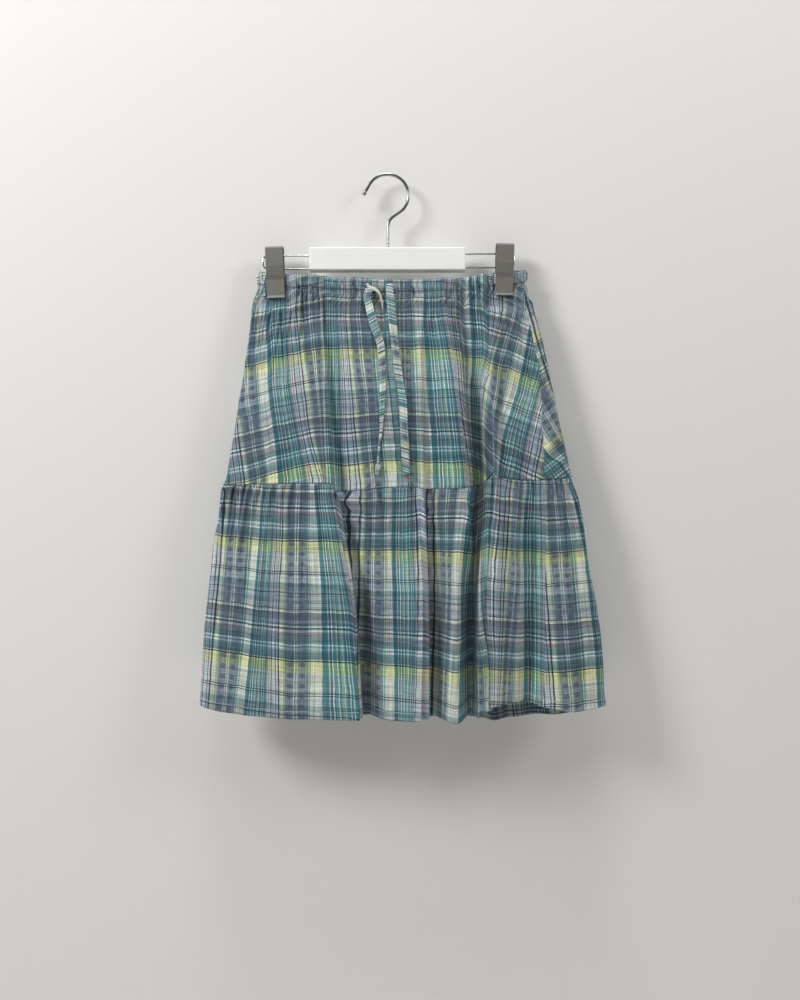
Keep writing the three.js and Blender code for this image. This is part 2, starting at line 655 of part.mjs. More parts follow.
// Plate inside a clip that carries it on the two wires of its rail.
function sliderGeometry(rail) {
  const outline = new THREE.Shape();
  const top = rail.top + SLIDER.above;
  const bottom = rail.bottom - SLIDER.below;
  outline.moveTo(-SLIDER.halfDepth, bottom);
  outline.lineTo(SLIDER.halfDepth, bottom);
  outline.lineTo(SLIDER.halfDepth, top);
  outline.lineTo(-SLIDER.halfDepth, top);
  for (const z of [rail.top, rail.bottom]) {
    const bore = new THREE.Path();
    bore.absarc(0, z, RAIL_WIRE / 2 + SLIDER.clearance, 0, 2 * Math.PI, true);
    outline.holes.push(bore);
  }
  const geometry = new THREE.ExtrudeGeometry(outline, {
    depth: SLIDER.sheet,
    bevelEnabled: false,
    curveSegments: 6,
  });
  geometry.translate(0, 0, -SLIDER.sheet / 2);
  geometry.applyMatrix4(OUTLINE_TO_SIDE);
  return geometry;
}

// ---- Assembly -----------------------------------------------------------------------------

const skirt = new THREE.Group();

function add(name, geometry, material) {
  const mesh = new THREE.Mesh(geometry, material);
  mesh.name = name;
  skirt.add(mesh);
  return mesh;
}

const PANELS = [
  { name: 'upper_front', front: true, upper: true, rows: UPPER_ROWS, gathers: FRONT_GATHERS },
  { name: 'upper_back', front: false, upper: true, rows: UPPER_ROWS, gathers: BACK_GATHERS },
  { name: 'lower_front', front: true, upper: false, rows: LOWER_ROWS, gathers: FRONT_GATHERS },
  { name: 'lower_back', front: false, upper: false, rows: LOWER_ROWS, gathers: BACK_GATHERS },
];
for (const panel of PANELS) {
  add(panel.name, wallGeometry(panelGrid(panel)), cotton);
}

add('tie_left', tieGeometry(TIE_LEFT_ROUTE), cotton);
add('tie_right', tieGeometry(TIE_RIGHT_ROUTE), cotton);
add('tie_knot', knotGeometry(), cotton);

add('hanger_bar', barGeometry(), paintedWood).position.z = BAR.top - BAR.height / 2;
add('hanger_hook', hookGeometry(), chrome);
for (const rail of RAILS) {
  add(rail.name, railGeometry(rail), chrome);
}
CLIPS.forEach((clip, i) => {
  const rail = RAILS[i];
  const slider = add(`slider_${rail.side < 0 ? 'left' : 'right'}`, sliderGeometry(rail), chrome);
  slider.position.x = clip.x - rail.side * SLIDER.inset;
  const mesh = add(clip.name, clipGeometry(clip.length), clipSteel);
  mesh.position.set(clip.x, 0, clip.top);
  mesh.rotation.y = THREE.MathUtils.degToRad(-clip.lean);
});

export default skirt;
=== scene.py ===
# Knee-length skirt in two gathered tiers of checked cotton, hung by its waist from a clip hanger.
# Tables are in millimetres: X to the right, front towards -Y, Z up from where the hook bears.
import math

import bpy
import numpy as np
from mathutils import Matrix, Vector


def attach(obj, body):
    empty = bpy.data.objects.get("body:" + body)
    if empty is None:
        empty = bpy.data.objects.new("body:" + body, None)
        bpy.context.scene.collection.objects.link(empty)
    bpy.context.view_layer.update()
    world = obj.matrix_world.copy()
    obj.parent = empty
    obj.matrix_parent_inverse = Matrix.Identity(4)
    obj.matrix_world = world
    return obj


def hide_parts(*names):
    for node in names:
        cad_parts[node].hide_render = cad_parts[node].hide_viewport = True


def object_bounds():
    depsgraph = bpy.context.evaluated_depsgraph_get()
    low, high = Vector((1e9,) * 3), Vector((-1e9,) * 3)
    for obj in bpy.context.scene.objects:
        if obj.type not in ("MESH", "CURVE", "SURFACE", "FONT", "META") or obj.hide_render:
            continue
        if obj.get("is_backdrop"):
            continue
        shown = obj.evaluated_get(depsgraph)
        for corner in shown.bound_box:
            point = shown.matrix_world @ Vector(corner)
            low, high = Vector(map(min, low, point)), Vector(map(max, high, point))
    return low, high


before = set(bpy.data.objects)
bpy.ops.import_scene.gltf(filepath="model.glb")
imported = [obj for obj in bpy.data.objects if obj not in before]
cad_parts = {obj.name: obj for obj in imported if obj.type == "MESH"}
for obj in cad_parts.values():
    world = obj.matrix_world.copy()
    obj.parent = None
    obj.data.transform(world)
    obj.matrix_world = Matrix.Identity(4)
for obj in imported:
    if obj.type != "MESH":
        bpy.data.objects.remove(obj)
solid_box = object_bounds()
scene = bpy.context.scene
MM = 0.001

# ---- Camera ---------------------------------------------------------------------------------
# Stands straight in front, a little under a metre off, level with the middle of the skirt.

CAMERA_PLACE = (15, -942, -389)
CAMERA_LENS = 28.26

camera = bpy.data.objects.new("camera", bpy.data.cameras.new("camera"))
camera.location = [c * MM for c in CAMERA_PLACE]
camera.rotation_euler = (math.pi / 2, 0, 0)
camera.data.lens = CAMERA_LENS
camera.data.sensor_width = 36
camera.data.sensor_fit = "AUTO"
camera.data.clip_start = 0.01
scene.collection.objects.link(camera)
scene.camera = camera
scene.view_settings.view_transform = "Standard"

# ---- Upper tier -----------------------------------------------------------------------------
# Front and back panel of light checked cotton, cut A-line and joined by a seam on each side.
# The top is folded in over an elastic, and that casing draws the cloth into small gathers.

# Horizontal rings: side limits, and how far the front and the back stand out.
RINGS = [
    dict(z=-112, left=-154, right=165, front=7.0, back=6.5),
    dict(z=-122, left=-157, right=167, front=7.5, back=7.0),
    dict(z=-130, left=-156, right=165, front=8.0, back=7.0),
    dict(z=-137, left=-156, right=167, front=8.0, back=7.5),
    dict(z=-150, left=-160, right=171, front=9.0, back=8.5),
    dict(z=-173, left=-164, right=180, front=11.0, back=10.0),
    dict(z=-200, left=-167, right=186, front=13.0, back=12.0),
    dict(z=-245, left=-173, right=195.5, front=15.5, back=14.0),
    dict(z=-300, left=-183, right=207, front=18.0, back=16.0),
    dict(z=-365, left=-194, right=221, front=20.0, back=18.0),
    dict(z=-377, left=-199, right=225, front=20.5, back=18.5),
    dict(z=-413, left=-203, right=233, front=24.0, back=20.0),
    dict(z=-437, left=-207, right=236, front=26.0, back=21.5),
    dict(z=-461, left=-209.5, right=239.5, front=28.0, back=22.5),
    dict(z=-513, left=-215, right=250, front=31.5, back=25.0),
    dict(z=-562, left=-219.5, right=256.5, front=34.0, back=27.0),
    dict(z=-636, left=-224, right=261, front=37.0, back=29.0),
    dict(z=-665, left=-225, right=263, front=38.0, back=30.0),
]
RING_FLATNESS = 0.62
SIDE_EASE = 0.5

# Heights of the waist edge, the seam between the tiers and the hem, along the width.
WAIST_EDGE = [
    dict(x=-157, front=-115.0, back=-115.0),
    dict(x=-136, front=-117.5, back=-117.5),
    dict(x=-93, front=-121.0, back=-120.0),
    dict(x=-40, front=-124.5, back=-122.5),
    dict(x=20, front=-126.0, back=-123.5),
    dict(x=80, front=-124.5, back=-122.0),
    dict(x=118, front=-118.5, back=-118.0),
    dict(x=141, front=-116.0, back=-116.0),
    dict(x=167, front=-113.5, back=-113.5),
]
TIER_SEAM = [
    dict(x=-200, front=-372.0, back=-372.0),
    dict(x=-150, front=-370.5, back=-371.0),
    dict(x=-72, front=-371.0, back=-372.0),
    dict(x=-60, front=-379.0, back=-372.5),
    dict(x=14, front=-374.0, back=-373.0),
    dict(x=56, front=-376.0, back=-373.0),
    dict(x=104, front=-372.0, back=-371.0),
    dict(x=122, front=-363.0, back=-370.0),
    dict(x=130, front=-355.0, back=-369.5),
    dict(x=142, front=-362.0, back=-368.0),
    dict(x=172, front=-366.0, back=-366.0),
    dict(x=234, front=-361.5, back=-361.5),
]
HEM_EDGE = [
    dict(x=-226, front=-633.0, back=-633.0),
    dict(x=-170, front=-638.5, back=-645.0),
    dict(x=-110, front=-643.0, back=-652.0),
    dict(x=-40, front=-640.0, back=-654.5),
    dict(x=-20, front=-641.5, back=-654.5),
    dict(x=30, front=-642.0, back=-655.5),
    dict(x=79, front=-644.0, back=-656.5),
    dict(x=103, front=-643.0, back=-657.0),
    dict(x=117, front=-634.0, back=-657.0),
    dict(x=150, front=-623.5, back=-656.5),
    dict(x=185, front=-630.5, back=-654.5),
    dict(x=222, front=-635.5, back=-649.0),
    dict(x=263, front=-632.5, back=-633.0),
]

# Side seams: where each crosses the front (the right one) or the back (the left one).
RIGHT_SEAM = dict(z=[-112, -150, -200, -245, -370, -513, -665], x=[163, 166, 174, 182, 187, 186, 181])
LEFT_SEAM = dict(z=[-112, -150, -245, -370, -665], x=[-126, -130, -142, -154, -172])

# Hanging folds: crest or valley (x) and its height (out) at four levels, the reach of its left
# and right slopes, and its lean over the neighbour. Cloth columns follow all but the last ones.
FOLD_LEVELS = [-140, -372, -510, -645]
WAIST_LEVEL, SEAM_LEVEL, HEM_LEVEL = -120, -372, -645
FRONT_FOLDS = [
    dict(x=[-114, -138, -152, -165], out=[0, 1, 3, 3], reach=[14, 20], lean=0),
    dict(x=[-84, -65, -40, -31], out=[0.5, 5, 10, 12], reach=[44, 12], lean=20),
    dict(x=[-75, -57, -36, -27], out=[-1.5, -11, -22, -25], reach=[12, 19], lean=-9),
    dict(x=[-30, -26, -8, 4], out=[0.5, 2, 3, 4], reach=[22, 20], lean=0),
    dict(x=[38, 35, 41, 39], out=[0, 4, 9, 12], reach=[26, 9], lean=16),
    dict(x=[50, 47, 51, 51], out=[0, -9, -23, -27], reach=[12, 16], lean=-8),
    dict(x=[70, 76, 78, 79], out=[0.5, 3, 8, 12], reach=[18, 15], lean=0),
    dict(x=[102, 110, 102, 101], out=[-2.5, -18, -28, -31], reach=[14, 13], lean=6),
    dict(x=[121, 126, 115, 117], out=[1.5, 8, 12, 13], reach=[12, 34], lean=-17),
    dict(x=[148, 168, 170, 166], out=[0, -3, -12, -15], reach=[17, 15], lean=0),
]
# Two small tucks of the upper tier beside the deep recess.
RECESS_TUCKS = [
    dict(x=[66, 94, 96, 96], out=[3, 9, 0, 0], reach=[22, 8], lean=14),
    dict(x=[84, 106, 106, 106], out=[-5, -5, 0, 0], reach=[11, 12], lean=0),
]
FRONT_LOOSE_FOLDS = [
    dict(x=[-140, -168, -182, -192], out=[0, 1, 2, 3], reach=[30, 30], lean=0),
    dict(x=[21, 28, 22, 18], out=[-1.5, -7, -1, 0], reach=[12, 12], lean=0),
    dict(x=[134, 147, 148, 150], out=[0, -6, -2, -2], reach=[8, 9], lean=0),
    dict(x=[160, 200, 206, 212], out=[0, 1, 4, 6], reach=[26, 26], lean=0),
]
BACK_FOLDS = [
    dict(x=[-106, -130, -146, -152], out=[0, 3, 8, 10], reach=[24, 20], lean=0),
    dict(x=[-90, -108, -118, -122], out=[-1, -6, -12, -14], reach=[18, 18], lean=0),
    dict(x=[-66, -80, -84, -82], out=[0.5, 4, 9, 11], reach=[26, 16], lean=5),
    dict(x=[-40, -46, -50, -54], out=[-1, -7, -13, -15], reach=[16, 20], lean=0),
    dict(x=[-4, -6, -8, -4], out=[0, 3, 8, 10], reach=[26, 26], lean=0),
    dict(x=[28, 34, 36, 40], out=[-1, -6, -12, -14], reach=[20, 16], lean=0),
    dict(x=[62, 72, 78, 82], out=[0.5, 4, 9, 12], reach=[18, 28], lean=-5),
    dict(x=[96, 116, 124, 130], out=[-1, -7, -12, -14], reach=[18, 20], lean=0),
    dict(x=[128, 158, 172, 180], out=[0, 3, 8, 10], reach=[24, 30], lean=0),
]
FULL_LEAN_HEIGHT = 12

# The waist is pressed flat between the jaws of the clips.
JAW_CENTRES = [-135.6, 141]
PRESS = dict(reach=28, full=17, lowest=-167, fade=14, half_depth=1.4)

CASING_DEPTH = 16
CASING_PUFF = 1.15
FRONT_GATHERS, BACK_GATHERS = 39, 31
COLUMNS_PER_GATHER = 10
CLOTH_THICKNESS = 0.42


def smooth_curve(keys, values, place):
    """Value at each place on the smooth curve through the values, one for each key."""
    keys, values = np.asarray(keys, float), np.asarray(values, float)
    if keys[0] > keys[-1]:
        keys, values = keys[::-1], values[::-1]
    slopes = np.empty_like(values)
    slopes[1:-1] = (values[2:] - values[:-2]) / (keys[2:] - keys[:-2])
    slopes[0] = (values[1] - values[0]) / (keys[1] - keys[0])
    slopes[-1] = (values[-1] - values[-2]) / (keys[-1] - keys[-2])
    place = np.clip(place, keys[0], keys[-1])
    i = np.clip(np.searchsorted(keys, place, side="right") - 1, 0, len(keys) - 2)
    span = keys[i + 1] - keys[i]
    s = (place - keys[i]) / span
    return ((2 * s**3 - 3 * s**2 + 1) * values[i] + (s**3 - 2 * s**2 + s) * span * slopes[i]
            + (3 * s**2 - 2 * s**3) * values[i + 1] + (s**3 - s**2) * span * slopes[i + 1])


def along(rows, key, column, place):
    return smooth_curve([row[key] for row in rows], [row[column] for row in rows], place)


def smooth_step(value, low, high):
    s = np.clip((value - low) / (high - low), 0, 1)
    return s * s * (3 - 2 * s)


def on_front(turn):
    """A turn runs round the ring: 0 left side, 0 to 1 front, 1 right side, 1 to 2 back."""
    return np.mod(turn, 2) <= 1


def width_share(turn):
    t = np.mod(turn, 2)
    t = np.where(t <= 1, t, 2 - t)
    return t - SIDE_EASE * np.sin(2 * math.pi * t) / (2 * math.pi)


def turn_at(x, z, front):
    left, right = along(RINGS, "z", "left", z), along(RINGS, "z", "right", z)
    steps = np.linspace(0, 1, 2001)
    turn = np.interp((x - left) / (right - left), width_share(steps), steps)
    return turn if front else 2 - turn


def ring_point(turn, z):
    left, right = along(RINGS, "z", "left", z), along(RINGS, "z", "right", z)
    share = width_share(turn)
    roundness = (4 * np.maximum(share * (1 - share), 0)) ** (RING_FLATNESS / 2)
    depth = np.where(on_front(turn), -along(RINGS, "z", "front", z), along(RINGS, "z", "back", z))
    return left + (right - left) * share, depth * roundness


def pressed(x, z):
    """How strongly the jaws press the waist here, 0 to 1."""
    down = smooth_step(z, PRESS["lowest"], PRESS["lowest"] + PRESS["fade"])
    across = [smooth_step(PRESS["reach"] - np.abs(x - jaw), 0, PRESS["reach"] - PRESS["full"])
              for jaw in JAW_CENTRES]
    return np.maximum(*across) * down


def fold_at(fold, z):
    height = smooth_curve(FOLD_LEVELS, fold["out"], z)
    lean = fold["lean"] * np.minimum(1, np.abs(height) / FULL_LEAN_HEIGHT)
    return smooth_curve(FOLD_LEVELS, fold["x"], z) - lean, height, lean


def cloth_point(turn, z, out, front_folds=FRONT_FOLDS + RECESS_TUCKS + FRONT_LOOSE_FOLDS):
    """Place of the cloth, with its hanging folds and a further swing out, and its outward way."""
    x, y = ring_point(turn, z)
    ahead, behind = ring_point(turn + 0.004, z), ring_point(turn - 0.004, z)
    run_x, run_y = ahead[0] - behind[0], ahead[1] - behind[1]
    length = np.hypot(run_x, run_y)
    run_x, run_y = run_x / length, run_y / length
    front = on_front(turn)
    total, sideways = np.array(out, float) + 0 * x, 0 * x
    for folds, side, way in [(front_folds, front, 1), (BACK_FOLDS, ~front, -1)]:
        for fold in folds:
            foot, height, lean = fold_at(fold, z)
            away = x - foot
            reach = np.where(away < 0, fold["reach"][0], fold["reach"][1])
            rise = (1 + np.cos(math.pi * np.clip(away / reach, -1, 1))) / 2 * side
            total += height * rise
            sideways += way * lean * rise
    press = pressed(x, z)
    total *= 1 - press
    flat_y = np.sign(y) * PRESS["half_depth"]
    new_x = x + run_x * sideways + run_y * total
    new_y = y + run_y * sideways - run_x * total
    return new_x, new_y + (flat_y - new_y) * press


def edge_height(edge, turn, level):
    x = ring_point(turn, level)[0]
    return np.where(on_front(turn), along(edge, "x", "front", x), along(edge, "x", "back", x))


def guide_turns(front, z):
    """Turns of a panel's two seams and of the folds that its columns follow, at a height."""
    right = turn_at(smooth_curve(RIGHT_SEAM["z"], RIGHT_SEAM["x"], z), z, True)
    left = turn_at(smooth_curve(LEFT_SEAM["z"], LEFT_SEAM["x"], z), z, False) - 2
    ends = (left, right) if front else (right, left + 2)
    folds = sorted(float(turn_at(fold_at(fold, z)[0], z,
        front)) for fold in (FRONT_FOLDS if front else BACK_FOLDS))
    return np.array([ends[0], *folds, ends[1]])


def column_turns(front, z, count):
    """Turn of each cloth column at a height. A fold keeps the column that it has at the seam."""
    at_seam, here = guide_turns(front, SEAM_LEVEL), guide_turns(front, z)
    numbers = (at_seam - at_seam[0]) / (at_seam[-1] - at_seam[0]) * count
    return np.interp(np.arange(count + 1), numbers, here)


def soft_noise(a, b, seed):
    """Smooth uneven values from -1 to 1, one bump for each unit of a and b."""
    lattice = np.random.RandomState(seed).uniform(-1, 1, (64, 64))
    ia, ib = np.floor(a).astype(int), np.floor(b).astype(int)
    fa, fb = a - ia, b - ib
    fa, fb = fa * fa * (3 - 2 * fa), fb * fb * (3 - 2 * fb)
    corner = lambda da, db: lattice[(ia + da) % 64, (ib + db) % 64]
    low = corner(0, 0) * (1 - fa) + corner(1, 0) * fa
    high = corner(0, 1) * (1 - fa) + corner(1, 1) * fa
    return low * (1 - fb) + high * fb


def crumple(x, z, seed):
    """Fine slack of light cotton: long soft ripples down the cloth, and small dents over them."""
    long_ripples = soft_noise(x / 17 + 0.05 * z / 17, z / 90, seed) * 0.9
    ripples = soft_noise(x / 8, z / 34, seed + 1) * 0.42
    dents = soft_noise(x / 5.5 + z / 40, z / 10, seed + 2) * 0.2
    return long_ripples + ripples + dents


def crease_relief(creases, x, z):
    """Height of listed creases. Each runs from a start to an end, with a soft section."""
    total = np.zeros_like(x)
    for crease in creases:
        (x0, z0), (x1, z1) = crease["start"], crease["end"]
        dx, dz = x1 - x0, z1 - z0
        length = math.hypot(dx, dz)
        share = np.clip(((x - x0) * dx + (z - z0) * dz) / length**2, 0, 1)
        bow = crease.get("bow", 0) * np.sin(math.pi * share)
        aside = ((x - x0) * dz - (z - z0) * dx) / length - bow
        beyond = np.hypot(x - x0 - share * dx, z - z0 - share * dz)
        far = np.where((share <= 0) | (share >= 1), beyond, np.abs(aside))
        total += crease["height"] * np.exp(-(far / crease["width"]) ** 2) * np.sin(math.pi * np.clip(share,
            0.04, 0.96)) ** 0.6
    return total


# Creases of the upper tier, front and back.
UPPER_FRONT_CREASES = [
    dict(start=(-147, -150), end=(-176, -300), width=3.6, height=-2.2, bow=3),
    dict(start=(-129, -146), end=(-124, -262), width=2.4, height=-3.2, bow=-3),
    dict(start=(-112, -140), end=(-93, -250), width=3.2, height=2.2, bow=2),
    dict(start=(-103, -138), end=(-96, -196), width=2.2, height=-2.4, bow=2),
    dict(start=(-84, -150), end=(-70, -340), width=2.6, height=-2.2),
    dict(start=(-64, -140), end=(-59, -330), width=2.2, height=-2.6, bow=2),
    dict(start=(-56, -142), end=(-51, -300), width=3.0, height=2.0),
    dict(start=(-40, -142), end=(-37, -260), width=2.4, height=-1.8),
    dict(start=(-16, -150), end=(-12, -250), width=2.8, height=-1.6),
    dict(start=(-19, -141), end=(-8, -166), width=4.2, height=-4.4, bow=-2),
    dict(start=(-9, -160), end=(-2, -215), width=3.4, height=-2.6),
    dict(start=(34, -142), end=(42, -290), width=3.2, height=2.0),
    dict(start=(49, -140), end=(60, -250), width=2.4, height=-2.6),
    dict(start=(64, -142), end=(72, -220), width=2.8, height=2.0),
    dict(start=(76, -140), end=(88, -290), width=2.6, height=-2.8),
    dict(start=(96, -140), end=(104, -230), width=3.0, height=2.2),
    dict(start=(128, -330), end=(116, -200), width=3.0, height=2.0),
    dict(start=(140, -330), end=(141, -230), width=2.4, height=-2.4),
    dict(start=(150, -170), end=(168, -240), width=4.4, height=1.8),
    dict(start=(158, -160), end=(190, -330), width=2.8, height=-2.0, bow=3),
]
UPPER_BACK_CREASES = [
    dict(start=(-120, -150), end=(-138, -290), width=3.6, height=-1.6, bow=3),
    dict(start=(-70, -148), end=(-86, -270), width=3.4, height=1.5),
    dict(start=(-22, -150), end=(-28, -300), width=3.2, height=-1.4, bow=-2),
    dict(start=(18, -148), end=(24, -240), width=3.4, height=1.4),
    dict(start=(58, -150), end=(70, -310), width=3.2, height=-1.5, bow=2),
    dict(start=(110, -150), end=(136, -280), width=3.6, height=1.5),
]


def gathers(column, drop, side, depth):
    """Swing of the gathers: uneven little waves that die out down the cloth."""
    wander = 0.35 * soft_noise(column / 4.3, drop / 30, 11 + side) + 0.2 * np.sin(column * 0.9 + side)
    wave = np.cos(math.pi * (column + wander))
    sharp = np.sign(wave) * np.abs(wave) ** 0.8
    fine = 0.6 * np.cos(math.pi * (2.4 * column + 2 * wander))
    uneven = 0.75 + 0.4 * np.sin(column * 1.7) + 0.4 * soft_noise(column / 2.2, drop / 40, 13 + side)
    return depth * uneven * (sharp + fine * np.exp(-drop / 18))


def panel_rows(upper):
    """Rows of a panel down its cloth: distance from the top edge, from the bottom edge where it
    is closer, and how far the row stands outside the cloth's middle surface."""
    rows = []
    if upper:
        for drop in [15.6, 12.5, 9.0, 5.5, 2.6, 0.9]:
            rows.append(("top", drop, -CASING_PUFF * min(1,
                (drop / 2.6) ** 0.5) * (1 if drop < 14 else 0.5)))
        for drop in [0, 0.5, 1.4, 2.8, 4.6, 6.6, 8.6, 10.6, 12.4, 14.0, 15.2, 16.0, 16.8, 18.2, 20.2, 22.4]:
            puff = CASING_PUFF * min(1, (drop / 2.2) ** 0.5) if drop < 13 else CASING_PUFF * 0.75
            groove = 1.5 * math.exp(-((drop - 16.2) / 1.3) ** 2)
            beyond = 1 if drop <= 16 else math.exp(-(drop - 16) / 3)
            rows.append(("top", drop, puff * beyond - groove))
        shares = np.linspace(0.105, 0.984, 82)
        rows += [("share", share, 0) for share in shares]
        rows += [("bottom", rise, 0.25 - 0.9 * math.exp(-(rise / 0.8) ** 2)) for rise in [2.6, 1.7, 1.0,
            0.5, 0.1]]
    else:
        rows += [("top", drop, 0.15 - 0.9 * math.exp(-(drop / 0.9) ** 2)) for drop in [0.1, 0.6, 1.2, 2.0,
            3.2, 4.8, 6.8, 9.0]]
        shares = np.linspace(0.043, 0.952, 88)
        rows += [("share", share, 0) for share in shares]
        rows += [("bottom", rise, 0.12) for rise in [11.0, 9.6, 9.0, 8.4, 7.0, 5.0, 3.0, 1.4, 0.4]]
        rows += [("bottom", rise, -0.62) for rise in [0.0, 1.2, 3.5, 6.0, 8.6]]
    return rows


def panel_surface(front, upper, creases, seed):
    top_edge, bottom_edge = (WAIST_EDGE, TIER_SEAM) if upper else (TIER_SEAM, HEM_EDGE)
    top_level, bottom_level = (WAIST_LEVEL, SEAM_LEVEL) if upper else (SEAM_LEVEL, HEM_LEVEL)
    count = (FRONT_GATHERS if front else BACK_GATHERS) * COLUMNS_PER_GATHER
    column = np.arange(count + 1) / (COLUMNS_PER_GATHER / 2)
    share_across = np.arange(count + 1) / count
    ease = np.minimum(1, 30 * share_across * (1 - share_across))
    points, turns_grid, heights, drops, arcs = [], [], [], [], []
    for kind, amount, stand in panel_rows(upper):
        share = amount if kind == "share" else (amount if kind == "top" else -amount) / abs(bottom_level - top_level)
        nominal = top_level + (bottom_level - top_level) * (share if share >= 0 and kind != "bottom" else 1 + share)
        turns = column_turns(front, nominal, count)
        top = edge_height(top_edge, turns, top_level)
        bottom = edge_height(bottom_edge, turns, bottom_level)
        z = {"top": top - amount, "bottom": bottom + amount, "share": top + (bottom - top) * amount}[kind]
        drop = top - z
        x = ring_point(turns, z)[0]
        if upper:
            depth = smooth_curve([0, 8, 16, 25, 41, 70, 110, 160], [1.3, 1.0, 1.1, 2.1, 1.7, 0.9, 0.3, 0],
                drop)
        else:
            depth = smooth_curve([0, 3, 9, 24, 56, 100, 160], [0.8, 1.6, 2.0, 1.6, 0.9, 0.35, 0], drop)
        slack = smooth_step(drop, 6, 60) * smooth_step(top - bottom - drop, 0, 12)
        unrolled = np.where(on_front(turns), x, 2 * along(RINGS, "z", "right", z) - x)
        out = gathers(column, drop, 0 if front else 3, depth) * ease
        out = out + crease_relief(creases, x, z) * ease + crumple(unrolled, z, seed) * slack * ease
        out = out + stand + 0.2
        if upper:
            z = z + 0.9 * np.exp(-np.abs(drop) / 3) * np.cos(math.pi * (1.9 * column + 2 * np.sin(column * 0.8))) * ease
        px, py = cloth_point(turns, z, out)
        sx, sy = cloth_point(turns, z, 0)
        arc = np.concatenate([[0], np.cumsum(np.hypot(np.diff(sx), np.diff(sy)))])
        points.append(np.stack([px, py, z], axis=1))
        turns_grid.append(turns)
        heights.append(z)
        drops.append(drop)
        arcs.append(arc)
    return dict(points=np.array(points), turns=np.array(turns_grid), z=np.array(heights),
                drop=np.array(drops), arc=np.array(arcs), column=column, front=front, upper=upper)


# Where marked threads of the check run. A warp row gives a thread's distance from the first
# navy warp and its place at each level, measured round the ring: x on the folds as they are now,
# or read on the earlier folds below. A weft row gives a thread's distance from the dark pick
# above the yellow band and its height at each place.
UPPER_FRONT_WARPS = dict(levels=[-165, -220, -260, -310, -365], rows=[
    dict(warp=0, x=[-192, -187, -184, -178, -169]),
    dict(warp=26.6, read=[-167, -162, -160, -154, -146]),
    dict(warp=37.6, read=[-158, -155.5, -152, -148, -141]),
    dict(warp=47.8, read=[-146, -142.5, -141, -134, -128]),
    dict(warp=76.5, read=[-122, -118, -115.5, -107.5, -99]),
    dict(warp=95.6, read=[-109, -104, -99.5, -93.5, -79.5]),
    dict(warp=109.3, read=[-98, -93, -88, -82, -76.5]),
    dict(warp=122.2, read=[-86, -82, -79.5, -76, -73.5]),
    dict(warp=148.2, read=[-74, -73, -72, -71, -69]),
    dict(warp=172.1, read=[-60, -57, -56, -55, -52]),
    dict(warp=191.2, read=[-50.5, -46, -42, -37.5, -31.5]),
    dict(warp=204.9, read=[-41, -36, -30.5, -26.5, -21.5]),
    dict(warp=217.8, read=[-27, -22, -19, -14.5, -9.5]),
    dict(warp=228.8, read=[-14, -11, -7, -3, 2]),
    dict(warp=239, read=[-4, -1, 3, 7.5, 12]),
    dict(warp=313.4, read=[22, 23.5, 24.5, 26, 27]),
    dict(warp=324.4, read=[32, 35, 37, 39, 39]),
    dict(warp=334.6, read=[43, 47, 48.5, 52, 55]),
    dict(warp=363.3, read=[62.5, 71, 74.5, 79, 84]),
    dict(warp=382.4, read=[80, 87, 90, 96, 103]),
    dict(warp=430.2, read=[98, 102, 100, 101.5, 107]),
    dict(warp=449.3, read=[113, 116, 109, 108, 111]),
    dict(warp=478, read=[139, 126, 114.5, 112, 114]),
    dict(warp=491.7, x=[149, 135, 131, 122, 122]),
    dict(warp=504.6, read=[158, 146, 139.5, 129, 125]),
    dict(warp=515.6, read=[167, 153.5, 145.5, 136, 130]),
    dict(warp=525.8, read=[174, 163.5, 155.5, 143.5, 135.5]),
    dict(warp=530.6, read=[178, 167.5, 159, 147, 140]),
    dict(warp=561.7, x=[205, 198, 189, 175, 164.5]),
    dict(warp=573.6, x=[215, 209, 200, 186, 175]),
])
UPPER_FRONT_WEFTS = dict(
    places=[-190, -167, -142, -136, -118, -94, -72, -45, -12, 19, 47, 87, 91, 112, 121, 145, 162, 185],
    rows=[
        dict(weft=0, z=[-234, -229, -224, -219, -217, -212, -208, -209, -209, -209, -209, -210, -217,
                        -219, -225, -231, -240, -248]),
        dict(weft=142, z=[-370, -367, -359, -357, -353, -346, -345, -347, -342, -341, -344, -345, -346,
                          -354, -367, -386, -396, -409]),
    ])
